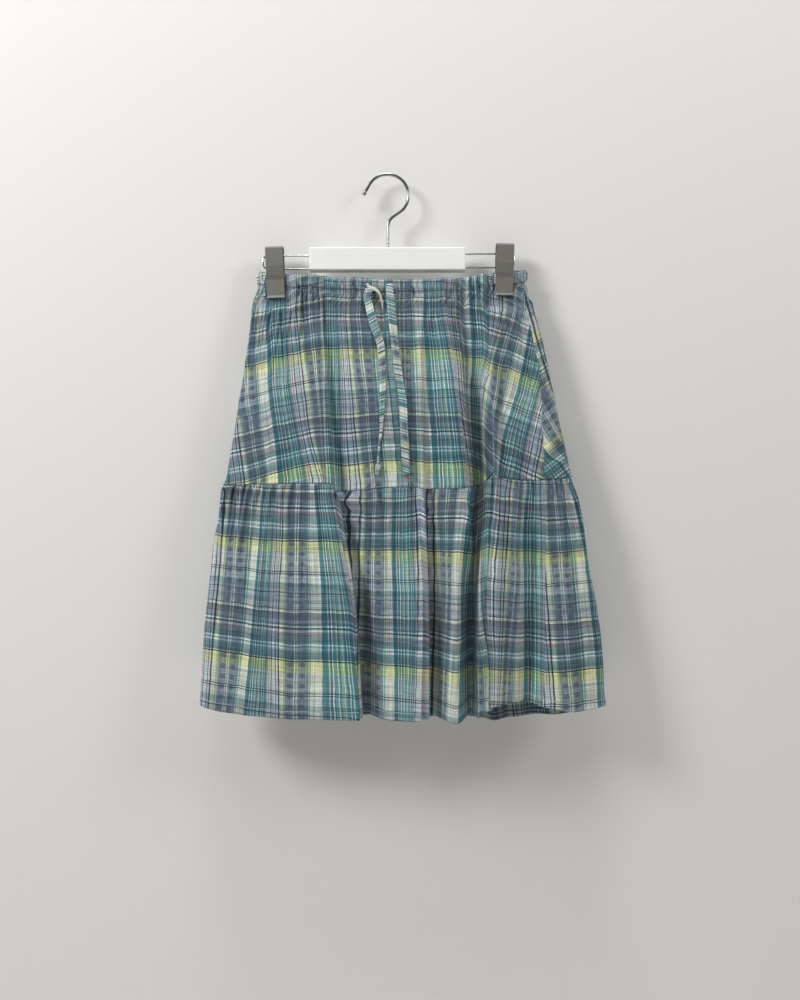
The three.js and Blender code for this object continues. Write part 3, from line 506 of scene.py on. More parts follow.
# The upper back is cut the other way up, and its threads slant where it comes round to the front.
UPPER_BACK_WARPS = dict(levels=[-140, -260, -372], rows=[
    dict(warp=26.6, x=[130, 165, 232]),
    dict(warp=-100, x=[285, 312, 340]),
    dict(warp=-230, x=[450, 456, 464]),
])
UPPER_BACK_WEFTS = dict(places=[160, 188, 208, 225, 250, 300, 600], rows=[
    dict(weft=142, z=[-215, -194, -179, -167, -158, -154, -150]),
    dict(weft=0, z=[-357, -336, -321, -309, -300, -296, -292]),
])
LOWER_FRONT_WARPS = dict(levels=[-380, -440, -500, -580, -638], rows=[
    dict(warp=0, read=[-193, -198, -202, -207, -211]),
    dict(warp=13.7, read=[-182, -185, -187, -191, -195]),
    dict(warp=26.6, read=[-168, -171, -174, -180, -185]),
    dict(warp=37.6, read=[-156, -159, -163, -170, -176]),
    dict(warp=47.8, read=[-148, -151, -155, -161.5, -167]),
    dict(warp=95.6, read=[-123, -124, -127, -127, -126]),
    dict(warp=109.3, read=[-112, -113, -113, -113, -114]),
    dict(warp=122.2, read=[-101, -101, -100, -99, -99]),
    dict(warp=133.2, read=[-93, -94, -91, -90, -89]),
    dict(warp=143.4, read=[-89, -85, -82, -80, -78]),
    dict(warp=169.7, x=[-76, -69, -62, -57, -53]),
    dict(warp=178, x=[-68, -60, -52, -46, -43]),
    dict(warp=180.6, x=[-64, -56, -48, -42, -39]),
    dict(warp=187.6, x=[-40, -36, -33, -34, -32]),
    dict(warp=191.2, x=[-30, -28, -25, -28, -25]),
    dict(warp=204.9, read=[-20, -21, -22, -23, -24]),
    dict(warp=217.8, read=[-9, -10, -10, -10, -11]),
    dict(warp=228.8, read=[1, 0, 0, -1, -3]),
    dict(warp=239, read=[5, 5, 6, 6, 5]),
    dict(warp=258.1, read=[23, 21.5, 20, 17, 15]),
    dict(warp=265.3, read=[28, 26.5, 25, 22.5, 20]),
    dict(warp=274.9, read=[32, 30, 28, 25, 22]),
    dict(warp=277, read=[34, 33, 31, 29, 26]),
    dict(warp=279.4, x=[46, 47, 48, 48, 47]),
    dict(warp=283.2, x=[54, 56, 57, 56, 55]),
    dict(warp=286.8, x=[60, 62, 63, 62, 61]),
    dict(warp=300.5, read=[64, 66, 66, 63.5, 62]),
    dict(warp=313.4, read=[73, 72, 71.5, 68, 66]),
    dict(warp=324.4, read=[78, 75.5, 74, 70.5, 68]),
    dict(warp=334.6, read=[89, 88, 86, 84, 82.5]),
    dict(warp=347.8, read=[103, 101, 99, 99, 99]),
    dict(warp=449.3, x=[121.5, 117, 117, 127, 129]),
    dict(warp=478, read=[150, 148, 144, 140, 138]),
    dict(warp=491.7, read=[156, 152.5, 151, 145.5, 143]),
    dict(warp=504.6, read=[160, 155.5, 154, 148, 146]),
    dict(warp=515.6, read=[163, 158.5, 157, 152, 151]),
    dict(warp=525.8, read=[166, 161.5, 161.5, 162, 162]),
    dict(warp=544.9, read=[178, 179, 179, 178, 177]),
    dict(warp=573.6, read=[187, 187, 187, 186, 185]),
])

# The two front tables' read places hold for READ_FOLDS, the folds of the front before they changed.
# The threads were carried over when the recess had only FIRST_TUCK, and moved with its tucks since.
# A thread is searched for within a stretch either side, and is found when it shows this close.
# Of the layers found, the one in front counts, and a nearer place before a further one.
READ_FOLDS = [
    dict(x=[-114, -138, -152, -165], out=[0, 1, 3, 3], reach=[14, 20], lean=0),
    dict(x=[-86, -78, -56, -42], out=[0.5, 4, 10, 12], reach=[44, 12], lean=11),
    dict(x=[-75, -64, -35, -21], out=[-1.5, -11, -22, -25], reach=[12, 16], lean=0),
    dict(x=[-30, -26, -8, 4], out=[0.5, 2, 3, 4], reach=[22, 20], lean=0),
    dict(x=[38, 40, 35, 28], out=[0, 1, 9, 12], reach=[26, 10], lean=9),
    dict(x=[50, 52, 55, 54], out=[0, -3, -18, -23], reach=[12, 14], lean=0),
    dict(x=[70, 76, 78, 79], out=[0.5, 3, 8, 12], reach=[18, 15], lean=0),
    dict(x=[102, 112, 102, 101], out=[-2.5, -18, -28, -31], reach=[14, 13], lean=0),
    dict(x=[121, 132, 120, 121], out=[1.5, 8, 12, 13], reach=[12, 34], lean=-11),
    dict(x=[148, 168, 170, 166], out=[0, -3, -12, -15], reach=[17, 15], lean=0),
    dict(x=[-140, -168, -182, -192], out=[0, 1, 2, 3], reach=[30, 30], lean=0),
    dict(x=[21, 28, 22, 18], out=[-1.5, -7, -1, 0], reach=[12, 12], lean=0),
    dict(x=[134, 147, 148, 150], out=[0, -6, -2, -2], reach=[8, 9], lean=0),
    dict(x=[160, 200, 206, 212], out=[0, 1, 4, 6], reach=[26, 26], lean=0),
]
FIRST_TUCK = dict(x=[66, 95, 96, 96], out=[1.5, 6, 0, 0], reach=[22, 8], lean=12)
SEARCH = dict(first=-235, last=275, step=0.25, stretch=26, close=0.6, far_cost=0.02, least_gap=0.8,
    rounded_to=0.5)


def carry_over(table):
    """Moves each read thread round the ring, so that from straight ahead it shows where it showed
    on the folds that it was read on. The recess has its first tuck here."""
    places = np.arange(SEARCH["first"], SEARCH["last"], SEARCH["step"])
    folds = FRONT_FOLDS + [FIRST_TUCK] + FRONT_LOOSE_FOLDS
    for row in table["rows"]:
        row.setdefault("x", [])
    for level, z in enumerate(table["levels"]):
        height = np.full(len(places), float(z))
        now_x, now_y = cloth_point(turn_at(places, height, True), height, 0, folds)
        for row in table["rows"]:
            if "read" not in row:
                continue
            place, here = np.array([float(row["read"][level])]), np.array([float(z)])
            shown = cloth_point(turn_at(place, here, True), here, 0, READ_FOLDS)[0]
            near = np.abs(places - place) < SEARCH["stretch"]
            miss = np.where(near, np.abs(now_x - shown), np.inf)
            found = np.where(miss < SEARCH["close"])[0]
            found = found if len(found) else np.array([np.argmin(miss)])
            cost = now_y[found] + SEARCH["far_cost"] * np.abs(places[found] - place)
            row["x"].append(float(places[found[np.argmin(cost)]]))
        for before, row in zip(table["rows"], table["rows"][1:]):
            if "read" in row:
                row["x"][level] = max(row["x"][level], before["x"][level] + SEARCH["least_gap"])
        for row in table["rows"]:
            if "read" in row:
                row["x"][level] = round(row["x"][level] / SEARCH["rounded_to"]) * SEARCH["rounded_to"]


carry_over(UPPER_FRONT_WARPS)
carry_over(LOWER_FRONT_WARPS)

LOWER_FRONT_WEFTS = dict(
    places=[-212, -173, -149, -110, -60, -50, 15, 27, 38, 50, 80, 98, 117, 136, 157, 190],
    rows=[
        dict(weft=0, z=[-429, -432, -435, -436, -437, -447, -447, -445, -443, -449, -448, -453, -442,
                        -443, -448, -450]),
        dict(weft=142, z=[-564, -567, -571, -576, -574, -576, -579, -581, -582, -584, -586, -584, -580,
                          -581, -586, -588]),
    ])
LOWER_BACK_WARPS = dict(levels=[-380, -440, -500, -580, -638], rows=[
    dict(warp=13.7, x=[194, 196, 199, 203.5, 207]),
    dict(warp=26.6, x=[202, 209, 211, 216.5, 220.5]),
    dict(warp=37.6, x=[208, 219, 225, 230.5, 234]),
    dict(warp=47.8, x=[216, 230, 237, 245, 248]),
])
LOWER_BACK_WEFTS = dict(places=[180, 202, 240, 300, 400, 500, 620], rows=[
    dict(weft=0, z=[-451, -450, -447, -446, -449, -446, -440]),
    dict(weft=142, z=[-589, -588, -586, -588, -591, -588, -582]),
])


def unrolled_x(turn, z):
    """X of the ring, carried on past its ends as if the ring were opened out."""
    x = ring_point(turn, z)[0]
    left, right = along(RINGS, "z", "left", z), along(RINGS, "z", "right", z)
    return np.where(turn < 0, 2 * left - x, np.where(turn > 1, 2 * right - x, x))


def thread_places(surface, warps, wefts):
    """Warp and weft distance of every point of a panel, from its marked threads."""
    turns, z, arc = surface["turns"], surface["z"], surface["arc"]
    across = unrolled_x(turns, z)
    warp = np.empty_like(z)
    marks = np.array([row["warp"] for row in warps["rows"]], float)
    way = np.sign(marks[-1] - marks[0])
    for r in range(len(z)):
        level = float(np.mean(z[r]))
        places = np.array([smooth_curve(warps["levels"], row["x"], level) for row in warps["rows"]])
        lengths = np.interp(places, across[r], arc[r])
        lengths += places - np.clip(places, across[r][0], across[r][-1])
        warp[r] = np.interp(arc[r], lengths, marks)
        warp[r] += way * (np.minimum(arc[r] - lengths[0], 0) + np.maximum(arc[r] - lengths[-1], 0))
    known = [np.interp(across, wefts["places"], row["z"]) for row in wefts["rows"]]
    values = [row["weft"] for row in wefts["rows"]]
    way = np.sign(values[-1] - values[0])
    weft = np.where(z > known[0], values[0] + way * (known[0] - z), values[-1] + way * (known[-1] - z))
    for above, below, a, b in zip(known, known[1:], values, values[1:]):
        between = (z <= above) & (z >= below)
        weft = np.where(between, a + (b - a) * (above - z) / (above - below), weft)
    drop, column = surface["drop"], surface["column"] + 0 * z
    drawn = np.exp(-np.abs(drop - 12) / 22)
    warp += 1.5 * drawn * soft_noise(column * 0.9, drop / 14, 91)
    weft += 1.6 * drawn * soft_noise(column * 0.62, drop / 26, 93) + 0.5 * soft_noise(column / 2.4,
        weft / 34, 95)
    return warp, weft


def cloth_object(name, surface, warp, weft):
    """Thin cloth over a grid. Its first map holds the threads' distances in metres, its second
    the distance along and up from the hem (lower tier) or down from the waist (upper tier)."""
    rows, columns = surface["z"].shape
    mesh = bpy.data.meshes.new(name)
    number = np.arange(rows * columns).reshape(rows, columns)
    faces = np.stack([number[:-1, :-1], number[1:, :-1], number[1:, 1:], number[:-1, 1:]],
        axis=-1).reshape(-1, 4)
    mesh.from_pydata((surface["points"].reshape(-1, 3) * MM).tolist(), [], faces.tolist())
    corners = faces.reshape(-1)
    check = mesh.uv_layers.new(name="threads")
    check.data.foreach_set("uv", (np.stack([warp, weft], axis=-1).reshape(-1, 2)[corners] * MM).ravel())
    edge = surface["drop"] if surface["upper"] else surface["drop"][-6:-5] - surface["drop"]
    trim = mesh.uv_layers.new(name="edges")
    trim.data.foreach_set("uv", (np.stack([surface["arc"], edge + 0 * surface["z"]], axis=-1).reshape(-1,
        2)[corners] * MM).ravel())
    mesh.polygons.foreach_set("use_smooth", [True] * len(mesh.polygons))
    cloth = bpy.data.objects.new(name, mesh)
    scene.collection.objects.link(cloth)
    shell = cloth.modifiers.new("cloth thickness", "SOLIDIFY")
    shell.thickness = CLOTH_THICKNESS * MM
    shell.offset = -1
    return cloth


# The check, one repeat of each way. Widths in millimetres, colours as sRGB. A warp's colour is
# how it tints the wefts that it crosses; a weft's is the cloth's own where the warp is cream.
WARP_YARNS = dict(
    navy=(94, 105, 122), butter=(244, 242, 222), olive=(184, 204, 188), slate=(154, 163, 176),
    cream=(247, 246, 236), sage=(145, 184, 184), teal=(108, 161, 171), petrol=(104, 140, 150),
    rose=(240, 234, 238), taupe=(186, 183, 189), ice=(214, 230, 238), white=(255, 255, 255),
    leaf=(164, 198, 186),
)
WARP_STRIPES = [
    ("navy", 1), ("butter", 4.6), ("olive", 2.5), ("slate", 9.4), ("cream", 0.9), ("slate", 0.9),
    ("sage", 1.2), ("cream", 1.1), ("slate", 8.1), ("sage", 1.4), ("slate", 1.4), ("teal", 1.3),
    ("cream", 1.1), ("leaf", 1.9), ("cream", 4.1), ("rose", 0.5), ("cream", 4.6), ("white", 1.4),
    ("teal", 3), ("petrol", 0.8), ("teal", 1.9), ("white", 0.8), ("teal", 1.4), ("navy", 0.8),
    ("white", 1.2), ("teal", 1.6), ("sage", 2.2), ("white", 0.7), ("teal", 1.8), ("leaf", 2.2),
    ("white", 0.7), ("leaf", 1.4), ("teal", 2.2), ("white", 0.8), ("teal", 1.7), ("ice", 0.6),
    ("teal", 2), ("petrol", 1.3), ("taupe", 2.5), ("rose", 0.9), ("taupe", 1.9), ("white", 1.6),
    ("navy", 1.5), ("ice", 0.9), ("rose", 2.2), ("ice", 2.9), ("navy", 1.1), ("rose", 2.8),
    ("navy", 0.8),
]
WEFT_YARNS = dict(
    ink=(92, 102, 110), yellow=(202, 206, 168), mist=(197, 204, 200), pearl=(192, 200, 202),
    sea=(140, 162, 163), frost=(164, 175, 180), steel=(148, 158, 169), dusk=(123, 131, 140),
    lilac=(146, 156, 167), pine=(118, 136, 146), white=(194, 207, 209), mauve=(142, 144, 152),
    lagoon=(118, 143, 149), blue=(134, 156, 165), deep=(112, 136, 143), cream=(197, 204, 197),
)
WEFT_STRIPES = [
    ("ink", 1.2), ("yellow", 13.6), ("mist", 22.3), ("ink", 1.0), ("mist", 1.6), ("ink", 1.0),
    ("pearl", 10.4), ("sea", 6.8), ("frost", 4.2), ("ink", 0.9), ("frost", 6.2), ("steel", 5.4),
    ("frost", 6.2), ("ink", 1.1), ("cream", 3.5), ("dusk", 7.9), ("lilac", 4.4), ("pine", 3.1),
    ("white", 2.3), ("ink", 2.0), ("pearl", 3.5), ("mauve", 5.8), ("lagoon", 8.0), ("white", 2.2),
    ("blue", 2.0), ("white", 2.2), ("blue", 3.1), ("lagoon", 4.4), ("deep", 4.5), ("cream", 1.2),
]
DOTS = dict(warps=(13.7, 26.6), first=5.4, pitch=12.2, count=7, height=6.4, width=6.0)


def linear(colour):
    return tuple((c / 255) ** 2.2 for c in colour) + (1.0,)


def put(tree, kind, inputs=None, **settings):
    """Adds a node. inputs maps its sockets to values, or to the output sockets that feed them."""
    node = tree.nodes.new(kind)
    for name, value in settings.items():
        setattr(node, name, value)
    for name, value in (inputs or {}).items():
        if isinstance(value, bpy.types.NodeSocket):
            tree.links.new(value, node.inputs[name])
        else:
            node.inputs[name].default_value = value
    return node


def reckon(tree, operation, a, b=0.0, c=0.0, clamp=False):
    return put(tree, "ShaderNodeMath", {0: a, 1: b, 2: c}, operation=operation, use_clamp=clamp).outputs[0]


def blend(tree, share, a, b, blend_type="MIX"):
    node = put(tree, "ShaderNodeMix", {"Factor": share}, data_type="RGBA", blend_type=blend_type)
    for socket, value in ((node.inputs[6], a), (node.inputs[7], b)):
        if isinstance(value, bpy.types.NodeSocket):
            tree.links.new(value, socket)
        else:
            socket.default_value = value
    return node.outputs[2]


def new_group(name, inputs, outputs):
    """Node group with named inputs (name, socket type, default) and outputs (name, type)."""
    group = bpy.data.node_groups.new(name, "ShaderNodeTree")
    for title, kind, default in inputs:
        socket = group.interface.new_socket(name=title, in_out="INPUT", socket_type=kind)
        if default is not None:
            socket.default_value = default
    for title, kind in outputs:
        group.interface.new_socket(name=title, in_out="OUTPUT", socket_type=kind)
    return group, group.nodes.new("NodeGroupInput"), group.nodes.new("NodeGroupOutput")


def stripes(tree, place, table, yarns):
    """Colour of a repeat of stripes at a place in millimetres. One ramp holds up to 32 stripes."""
    repeat = sum(width for _, width in table)
    share = reckon(tree, "FRACT", reckon(tree, "DIVIDE", place, repeat))
    colour, start = None, 0.0
    for first in range(0, len(table), 32):
        beyond = reckon(tree, "GREATER_THAN", share, start / repeat)
        ramp = put(tree, "ShaderNodeValToRGB", {0: share})
        ramp.color_ramp.interpolation = "CONSTANT"
        stops = ramp.color_ramp.elements
        for i, (yarn, width) in enumerate(table[first:first + 32]):
            stop = stops[i] if i < 2 else stops.new(start / repeat)
            stop.position = start / repeat
            stop.color = linear(yarns[yarn])
            start += width
        colour = blend(tree, beyond, colour, ramp.outputs[0]) if colour else ramp.outputs[0]
    return colour


def woven_check():
    """Yarn-dyed check with its woven dots: colour, with a faint painted highlight and shade at the thread crossings,
    thread relief, and where the dots float.
    """
    group, given, result = new_group(
        "woven check",
        [("Threads", "NodeSocketVector", None), ("Unevenness", "NodeSocketFloat", 1.0)],
        [("Color", "NodeSocketColor"), ("Relief", "NodeSocketFloat"), ("Dots", "NodeSocketFloat")],
    )
    millimetres = put(group, "ShaderNodeVectorMath", {0: given.outputs["Threads"], 1: (1000, 1000, 1000)},
        operation="MULTIPLY")
    wander = put(group, "ShaderNodeTexNoise", {"Vector": millimetres.outputs[0], "Scale": 0.05,
        "Detail": 2.0}, noise_dimensions="2D")
    drift = put(group, "ShaderNodeVectorMath", {0: wander.outputs["Color"], 1: (0.5, 0.5, 0.5)},
        operation="SUBTRACT")
    drift = put(group, "ShaderNodeVectorMath", {0: drift.outputs[0], 1: (1.6, 1.6, 0)},
        operation="MULTIPLY")
    place = put(group, "ShaderNodeVectorMath", {0: millimetres.outputs[0], 1: drift.outputs[0]},
        operation="ADD")
    split = put(group, "ShaderNodeSeparateXYZ", {0: place.outputs[0]})
    warp, weft = split.outputs[0], split.outputs[1]
    tint = stripes(group, warp, WARP_STRIPES, WARP_YARNS)
    ground = stripes(group, weft, WEFT_STRIPES, WEFT_YARNS)
    colour = blend(group, 1.0, ground, tint, "MULTIPLY")
    # single ends and picks that are a shade lighter or darker
    for stretch, amount in (((0.62, 0.012, 1), 0.5), ((0.012, 0.62, 1), 0.5), ((0.9, 0.9, 1), 0.3)):
        way = put(group, "ShaderNodeVectorMath", {0: millimetres.outputs[0], 1: stretch},
            operation="MULTIPLY")
        slub = put(group, "ShaderNodeTexNoise", {"Vector": way.outputs[0], "Scale": 1.0, "Detail": 1.0},
            noise_dimensions="2D")
        shade = reckon(group, "MULTIPLY_ADD", reckon(group, "SUBTRACT", slub.outputs["Fac"], 0.5),
            reckon(group, "MULTIPLY", given.outputs["Unevenness"], 2 * amount), 1.0)
        grey = put(group, "ShaderNodeCombineColor", {0: shade, 1: shade, 2: shade})
        colour = blend(group, 1.0, colour, grey.outputs[0], "MULTIPLY")
    # woven dots: a small bar with an arc over it, on two lines of each warp repeat
    step = reckon(group, "DIVIDE", reckon(group, "SUBTRACT", reckon(group, "MULTIPLY",
        reckon(group, "FRACT", reckon(group, "DIVIDE", weft, sum(w for _, w in WEFT_STRIPES))),
            sum(w for _, w in WEFT_STRIPES)), DOTS["first"]), DOTS["pitch"])
    row = reckon(group, "ROUND", step)
    down = reckon(group, "MULTIPLY", reckon(group, "SUBTRACT", step, row), DOTS["pitch"])
    in_rows = reckon(group, "MULTIPLY", reckon(group, "GREATER_THAN", row, -0.5), reckon(group,
        "LESS_THAN", row, DOTS["count"] - 0.5))
    repeat = sum(width for _, width in WARP_STRIPES)
    over = reckon(group, "MULTIPLY", reckon(group, "FRACT", reckon(group, "DIVIDE", warp, repeat)), repeat)
    dots = None
    for line in DOTS["warps"]:
        aside = reckon(group, "SUBTRACT", over, line)
        radius = reckon(group, "SQRT", reckon(group, "ADD", reckon(group, "MULTIPLY", aside, aside),
            reckon(group, "MULTIPLY", down, down)))
        core = reckon(group, "SUBTRACT", 1.0, reckon(group, "DIVIDE", radius, 2.3), clamp=True)
        ring = reckon(group, "SUBTRACT", 1.0, reckon(group, "DIVIDE",
            reckon(group, "ABSOLUTE", reckon(group, "SUBTRACT", radius, 3.0)), 1.0), clamp=True)
        upper = reckon(group, "LESS_THAN", down, 0.9)
        motif = reckon(group, "MAXIMUM", reckon(group, "MULTIPLY", core, 2.2), reckon(group, "MULTIPLY",
            reckon(group, "MULTIPLY", ring, upper), 1.4), clamp=True)
        dots = motif if dots is None else reckon(group, "MAXIMUM", dots, motif)
    dots = reckon(group, "MULTIPLY", dots, in_rows, clamp=True)
    colour = blend(group, reckon(group, "MULTIPLY", dots, 0.8), colour, linear((66, 76, 98)))
    # plain weave: warp and weft cross over each other every other thread; besides the relief, the raised crossings get
    # a faint painted highlight and the hollows between them a faint painted shade, up to 7 percent
    across = reckon(group, "SINE", reckon(group, "MULTIPLY", warp, 2 * math.pi / 0.84))
    length = reckon(group, "SINE", reckon(group, "MULTIPLY", weft, 2 * math.pi / 0.84))
    weave = reckon(group, "MULTIPLY", across, length)
    light = reckon(group, "MULTIPLY_ADD", weave, 0.07, 1.0)
    grey = put(group, "ShaderNodeCombineColor", {0: light, 1: light, 2: light})
    colour = blend(group, 1.0, colour, grey.outputs[0], "MULTIPLY")
    relief = reckon(group, "ADD", weave, reckon(group, "MULTIPLY", dots, 1.5))
    group.links.new(colour, result.inputs["Color"])
    group.links.new(relief, result.inputs["Relief"])
    group.links.new(dots, result.inputs["Dots"])
    return group


def stitch_line():
    """Row of sewing stitches: a mask of thread, and of the furrow that it pulls into the cloth, which serves both as
    relief and as a mask for painted shade.
    """
    group, given, result = new_group(
        "stitch line",
        [("Edges", "NodeSocketVector", None), ("Distance", "NodeSocketFloat", 9.0), ("Stitch",
            "NodeSocketFloat", 3.0)],
        [("Thread", "NodeSocketFloat"), ("Furrow", "NodeSocketFloat")],
    )
    millimetres = put(group, "ShaderNodeVectorMath", {0: given.outputs["Edges"], 1: (1000, 1000, 1000)},
        operation="MULTIPLY")
    split = put(group, "ShaderNodeSeparateXYZ", {0: millimetres.outputs[0]})
    away = reckon(group, "ABSOLUTE", reckon(group, "SUBTRACT", split.outputs[1], given.outputs["Distance"]))
    dash = reckon(group, "FRACT", reckon(group, "DIVIDE", split.outputs[0], given.outputs["Stitch"]))
    dash = reckon(group, "LESS_THAN", reckon(group, "ABSOLUTE", reckon(group, "SUBTRACT", dash, 0.5)), 0.34)
    thread = reckon(group, "MULTIPLY", reckon(group, "LESS_THAN", away, 0.32), dash)
    furrow = reckon(group, "SUBTRACT", 1.0, reckon(group, "DIVIDE", away, 1.3), clamp=True)
    group.links.new(thread, result.inputs["Thread"])
    group.links.new(furrow, result.inputs["Furrow"])
    return group


WOVEN_CHECK = woven_check()
STITCH_LINE = stitch_line()


def checked_cotton(name, stitched=(), gathered=None, sheen=0.12):
    """Light checked cotton, with rows of stitching at these distances from the panel's edge, and
    with puckers round the row that it is gathered on. The stitch furrows and the hollows between the puckers are
    darkened with painted shade."""
    material = bpy.data.materials.new(name)
    material.use_nodes = True
    tree = material.node_tree
    shader = tree.nodes["Principled BSDF"]
    threads = put(tree, "ShaderNodeUVMap", uv_map="threads")
    edges = put(tree, "ShaderNodeUVMap", uv_map="edges")
    check = put(tree, "ShaderNodeGroup", node_tree=WOVEN_CHECK)
    tree.links.new(threads.outputs[0], check.inputs["Threads"])
    colour, furrows = check.outputs["Color"], None
    for distance in stitched:
        line = put(tree, "ShaderNodeGroup", node_tree=STITCH_LINE)
        line.inputs["Distance"].default_value = distance
        tree.links.new(edges.outputs[0], line.inputs["Edges"])
        # painted shade: the cloth is darkened towards blue-grey in the furrow of each stitch row; the pale stitch
        # thread after it is the thread's own colour
        colour = blend(tree, reckon(tree, "MULTIPLY", line.outputs["Furrow"], 0.22), colour,
            linear((70, 80, 92)))
        colour = blend(tree, reckon(tree, "MULTIPLY", line.outputs["Thread"], 0.75), colour,
            linear((206, 212, 208)))
        furrow = line.outputs["Furrow"]
        furrows = furrow if furrows is None else reckon(tree, "MAXIMUM", furrows, furrow)
    puckers = None
    if gathered is not None:
        lines = put(tree, "ShaderNodeVectorMath", {0: edges.outputs[0], 1: (250, 24, 1)},
            operation="MULTIPLY")
        ridges = put(tree, "ShaderNodeTexNoise", {"Vector": lines.outputs[0], "Scale": 1.0, "Detail": 1.0},
            noise_dimensions="2D")
        down = put(tree, "ShaderNodeSeparateXYZ", {0: edges.outputs[0]}).outputs[1]
        away = reckon(tree, "ABSOLUTE", reckon(tree, "SUBTRACT", down, gathered / 1000))
        near = reckon(tree, "POWER", reckon(tree, "SUBTRACT", 1.0, reckon(tree, "DIVIDE", away, 0.034),
            clamp=True), 1.4)
        puckers = reckon(tree, "MULTIPLY", ridges.outputs["Fac"], near)
        # painted shade: the hollows between the puckers are darkened towards blue-grey
        pucker_hollow_shade = reckon(tree, "MULTIPLY", reckon(tree, "SUBTRACT", 0.52, ridges.outputs["Fac"],
            clamp=True), near)
        colour = blend(tree, reckon(tree, "MULTIPLY", pucker_hollow_shade, 3.0, clamp=True), colour,
            linear((58, 70, 84)))
    tree.links.new(colour, shader.inputs["Base Color"])
    weave = put(tree, "ShaderNodeBump", {"Strength": 0.25, "Distance": 0.0002,
        "Height": check.outputs["Relief"]})
    normal = weave
    for stretch, height in (((150, 26, 1), 0.0016), ((55, 210, 1), 0.0007)):
        way = put(tree, "ShaderNodeVectorMath", {0: threads.outputs[0], 1: stretch}, operation="MULTIPLY")
        wrinkles = put(tree, "ShaderNodeTexNoise", {"Vector": way.outputs[0], "Scale": 1.0, "Detail": 1.5},
            noise_dimensions="2D")
        normal = put(tree, "ShaderNodeBump", {"Strength": 1.0, "Distance": height,
            "Height": wrinkles.outputs["Fac"], "Normal": normal.outputs[0]})
    if puckers is not None:
        normal = put(tree, "ShaderNodeBump", {"Strength": 1.0, "Distance": 0.004, "Height": puckers,
            "Normal": normal.outputs[0]})
    if furrows is not None:
        normal = put(tree, "ShaderNodeBump", {"Strength": 0.6, "Distance": 0.0006, "Height": furrows,
            "Normal": normal.outputs[0]}, invert=True)
    tree.links.new(normal.outputs[0], shader.inputs["Normal"])
    shader.inputs["Roughness"].default_value = 0.88
    shader.inputs["Specular IOR Level"].default_value = 0.25
    shader.inputs["Sheen Weight"].default_value = sheen
    shader.inputs["Sheen Roughness"].default_value = 0.5
    return material


UPPER_COTTON = checked_cotton("checked_cotton_upper", stitched=(1.6, 15.6), gathered=16)


def sew_panel(name, surface, warps, wefts, material):
    """Makes one panel, gives it its check, and sets it in place of its solid."""
    warp, weft = thread_places(surface, warps, wefts)
    panel = cloth_object(f"{name}_cloth", surface, warp, weft)
    panel.data.materials.append(material)
    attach(panel, "root")
    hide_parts(name)
    return panel


sew_panel("upper_front", panel_surface(True, True, UPPER_FRONT_CREASES, 21),
          UPPER_FRONT_WARPS, UPPER_FRONT_WEFTS, UPPER_COTTON)
sew_panel("upper_back", panel_surface(False, True, UPPER_BACK_CREASES, 41),
          UPPER_BACK_WARPS, UPPER_BACK_WEFTS, UPPER_COTTON)

# ---- Lower tier -----------------------------------------------------------------------------
# Front and back panel of the same cotton, cut wider, gathered onto the upper tier's lower edge
# and hemmed with a narrow turned-up edge.

LOWER_FRONT_CREASES = [
    dict(start=(-190, -386), end=(-201, -560), width=3.6, height=-2.2, bow=3),
    dict(start=(-168, -382), end=(-178, -470), width=3.2, height=2.2),
    dict(start=(-142, -378), end=(-148, -560), width=3.0, height=-2.6, bow=-3),
    dict(start=(-118, -378), end=(-121, -450), width=3.0, height=2.2),
    dict(start=(-100, -378), end=(-96, -520), width=2.8, height=-2.4, bow=2),
    dict(start=(-82, -380), end=(-72, -470), width=3.0, height=2.0),
    dict(start=(-28, -384), end=(-24, -520), width=3.2, height=2.2),
    dict(start=(-17, -384), end=(-14, -640), width=2.6, height=-2.4, bow=2),
    dict(start=(0, -384), end=(-2, -470), width=3.0, height=2.0),
    dict(start=(12, -382), end=(12, -560), width=2.6, height=-2.6, bow=2),
    dict(start=(28, -382), end=(24, -600), width=2.6, height=-2.2, bow=-2),
    dict(start=(66, -382), end=(66, -500), width=3.0, height=-2.4),
    dict(start=(82, -382), end=(86, -450), width=2.6, height=-2.4),
    dict(start=(134, -366), end=(131, -560), width=2.4, height=-3.2),
    dict(start=(143, -368), end=(140, -520), width=2.6, height=2.2),
    dict(start=(150, -368), end=(146, -640), width=2.4, height=-3.0),
    dict(start=(158, -374), end=(154, -560), width=3.0, height=2.2, bow=-2),
    dict(start=(172, -372), end=(176, -520), width=2.8, height=-2.6),
    dict(start=(196, -370), end=(206, -560), width=3.6, height=2.0),
    dict(start=(216, -368), end=(232, -500), width=3.2, height=-2.2),
]
LOWER_BACK_CREASES = [
    dict(start=(-150, -380), end=(-160, -520), width=3.6, height=-1.8),
    dict(start=(-100, -380), end=(-104, -560), width=3.4, height=1.6, bow=2),
    dict(start=(-60, -380), end=(-62, -470), width=3.2, height=-1.8),
    dict(start=(-20, -380), end=(-22, -560), width=3.6, height=1.6, bow=-2),
    dict(start=(16, -380), end=(18, -480), width=3.2, height=-1.6),
    dict(start=(56, -380), end=(60, -560), width=3.4, height=1.6),
    dict(start=(98, -378), end=(104, -480), width=3.2, height=-1.8),
    dict(start=(144, -376), end=(154, -560), width=3.8, height=1.6, bow=2),
    dict(start=(190, -370), end=(206, -560), width=4.0, height=-1.6),
]
LOWER_COTTON = checked_cotton("checked_cotton_lower", stitched=(9.0,))

sew_panel("lower_front", panel_surface(True, False, LOWER_FRONT_CREASES, 61),
          LOWER_FRONT_WARPS, LOWER_FRONT_WEFTS, LOWER_COTTON)
sew_panel("lower_back", panel_surface(False, False, LOWER_BACK_CREASES, 81),
          LOWER_BACK_WARPS, LOWER_BACK_WEFTS, LOWER_COTTON)

# ---- Drawstring -----------------------------------------------------------------------------
# A narrow tube of the same cotton, pressed flat, that runs in the casing. Its two ends come out
# at the middle of the front and hang down over the cloth; the left one ends in a knot.

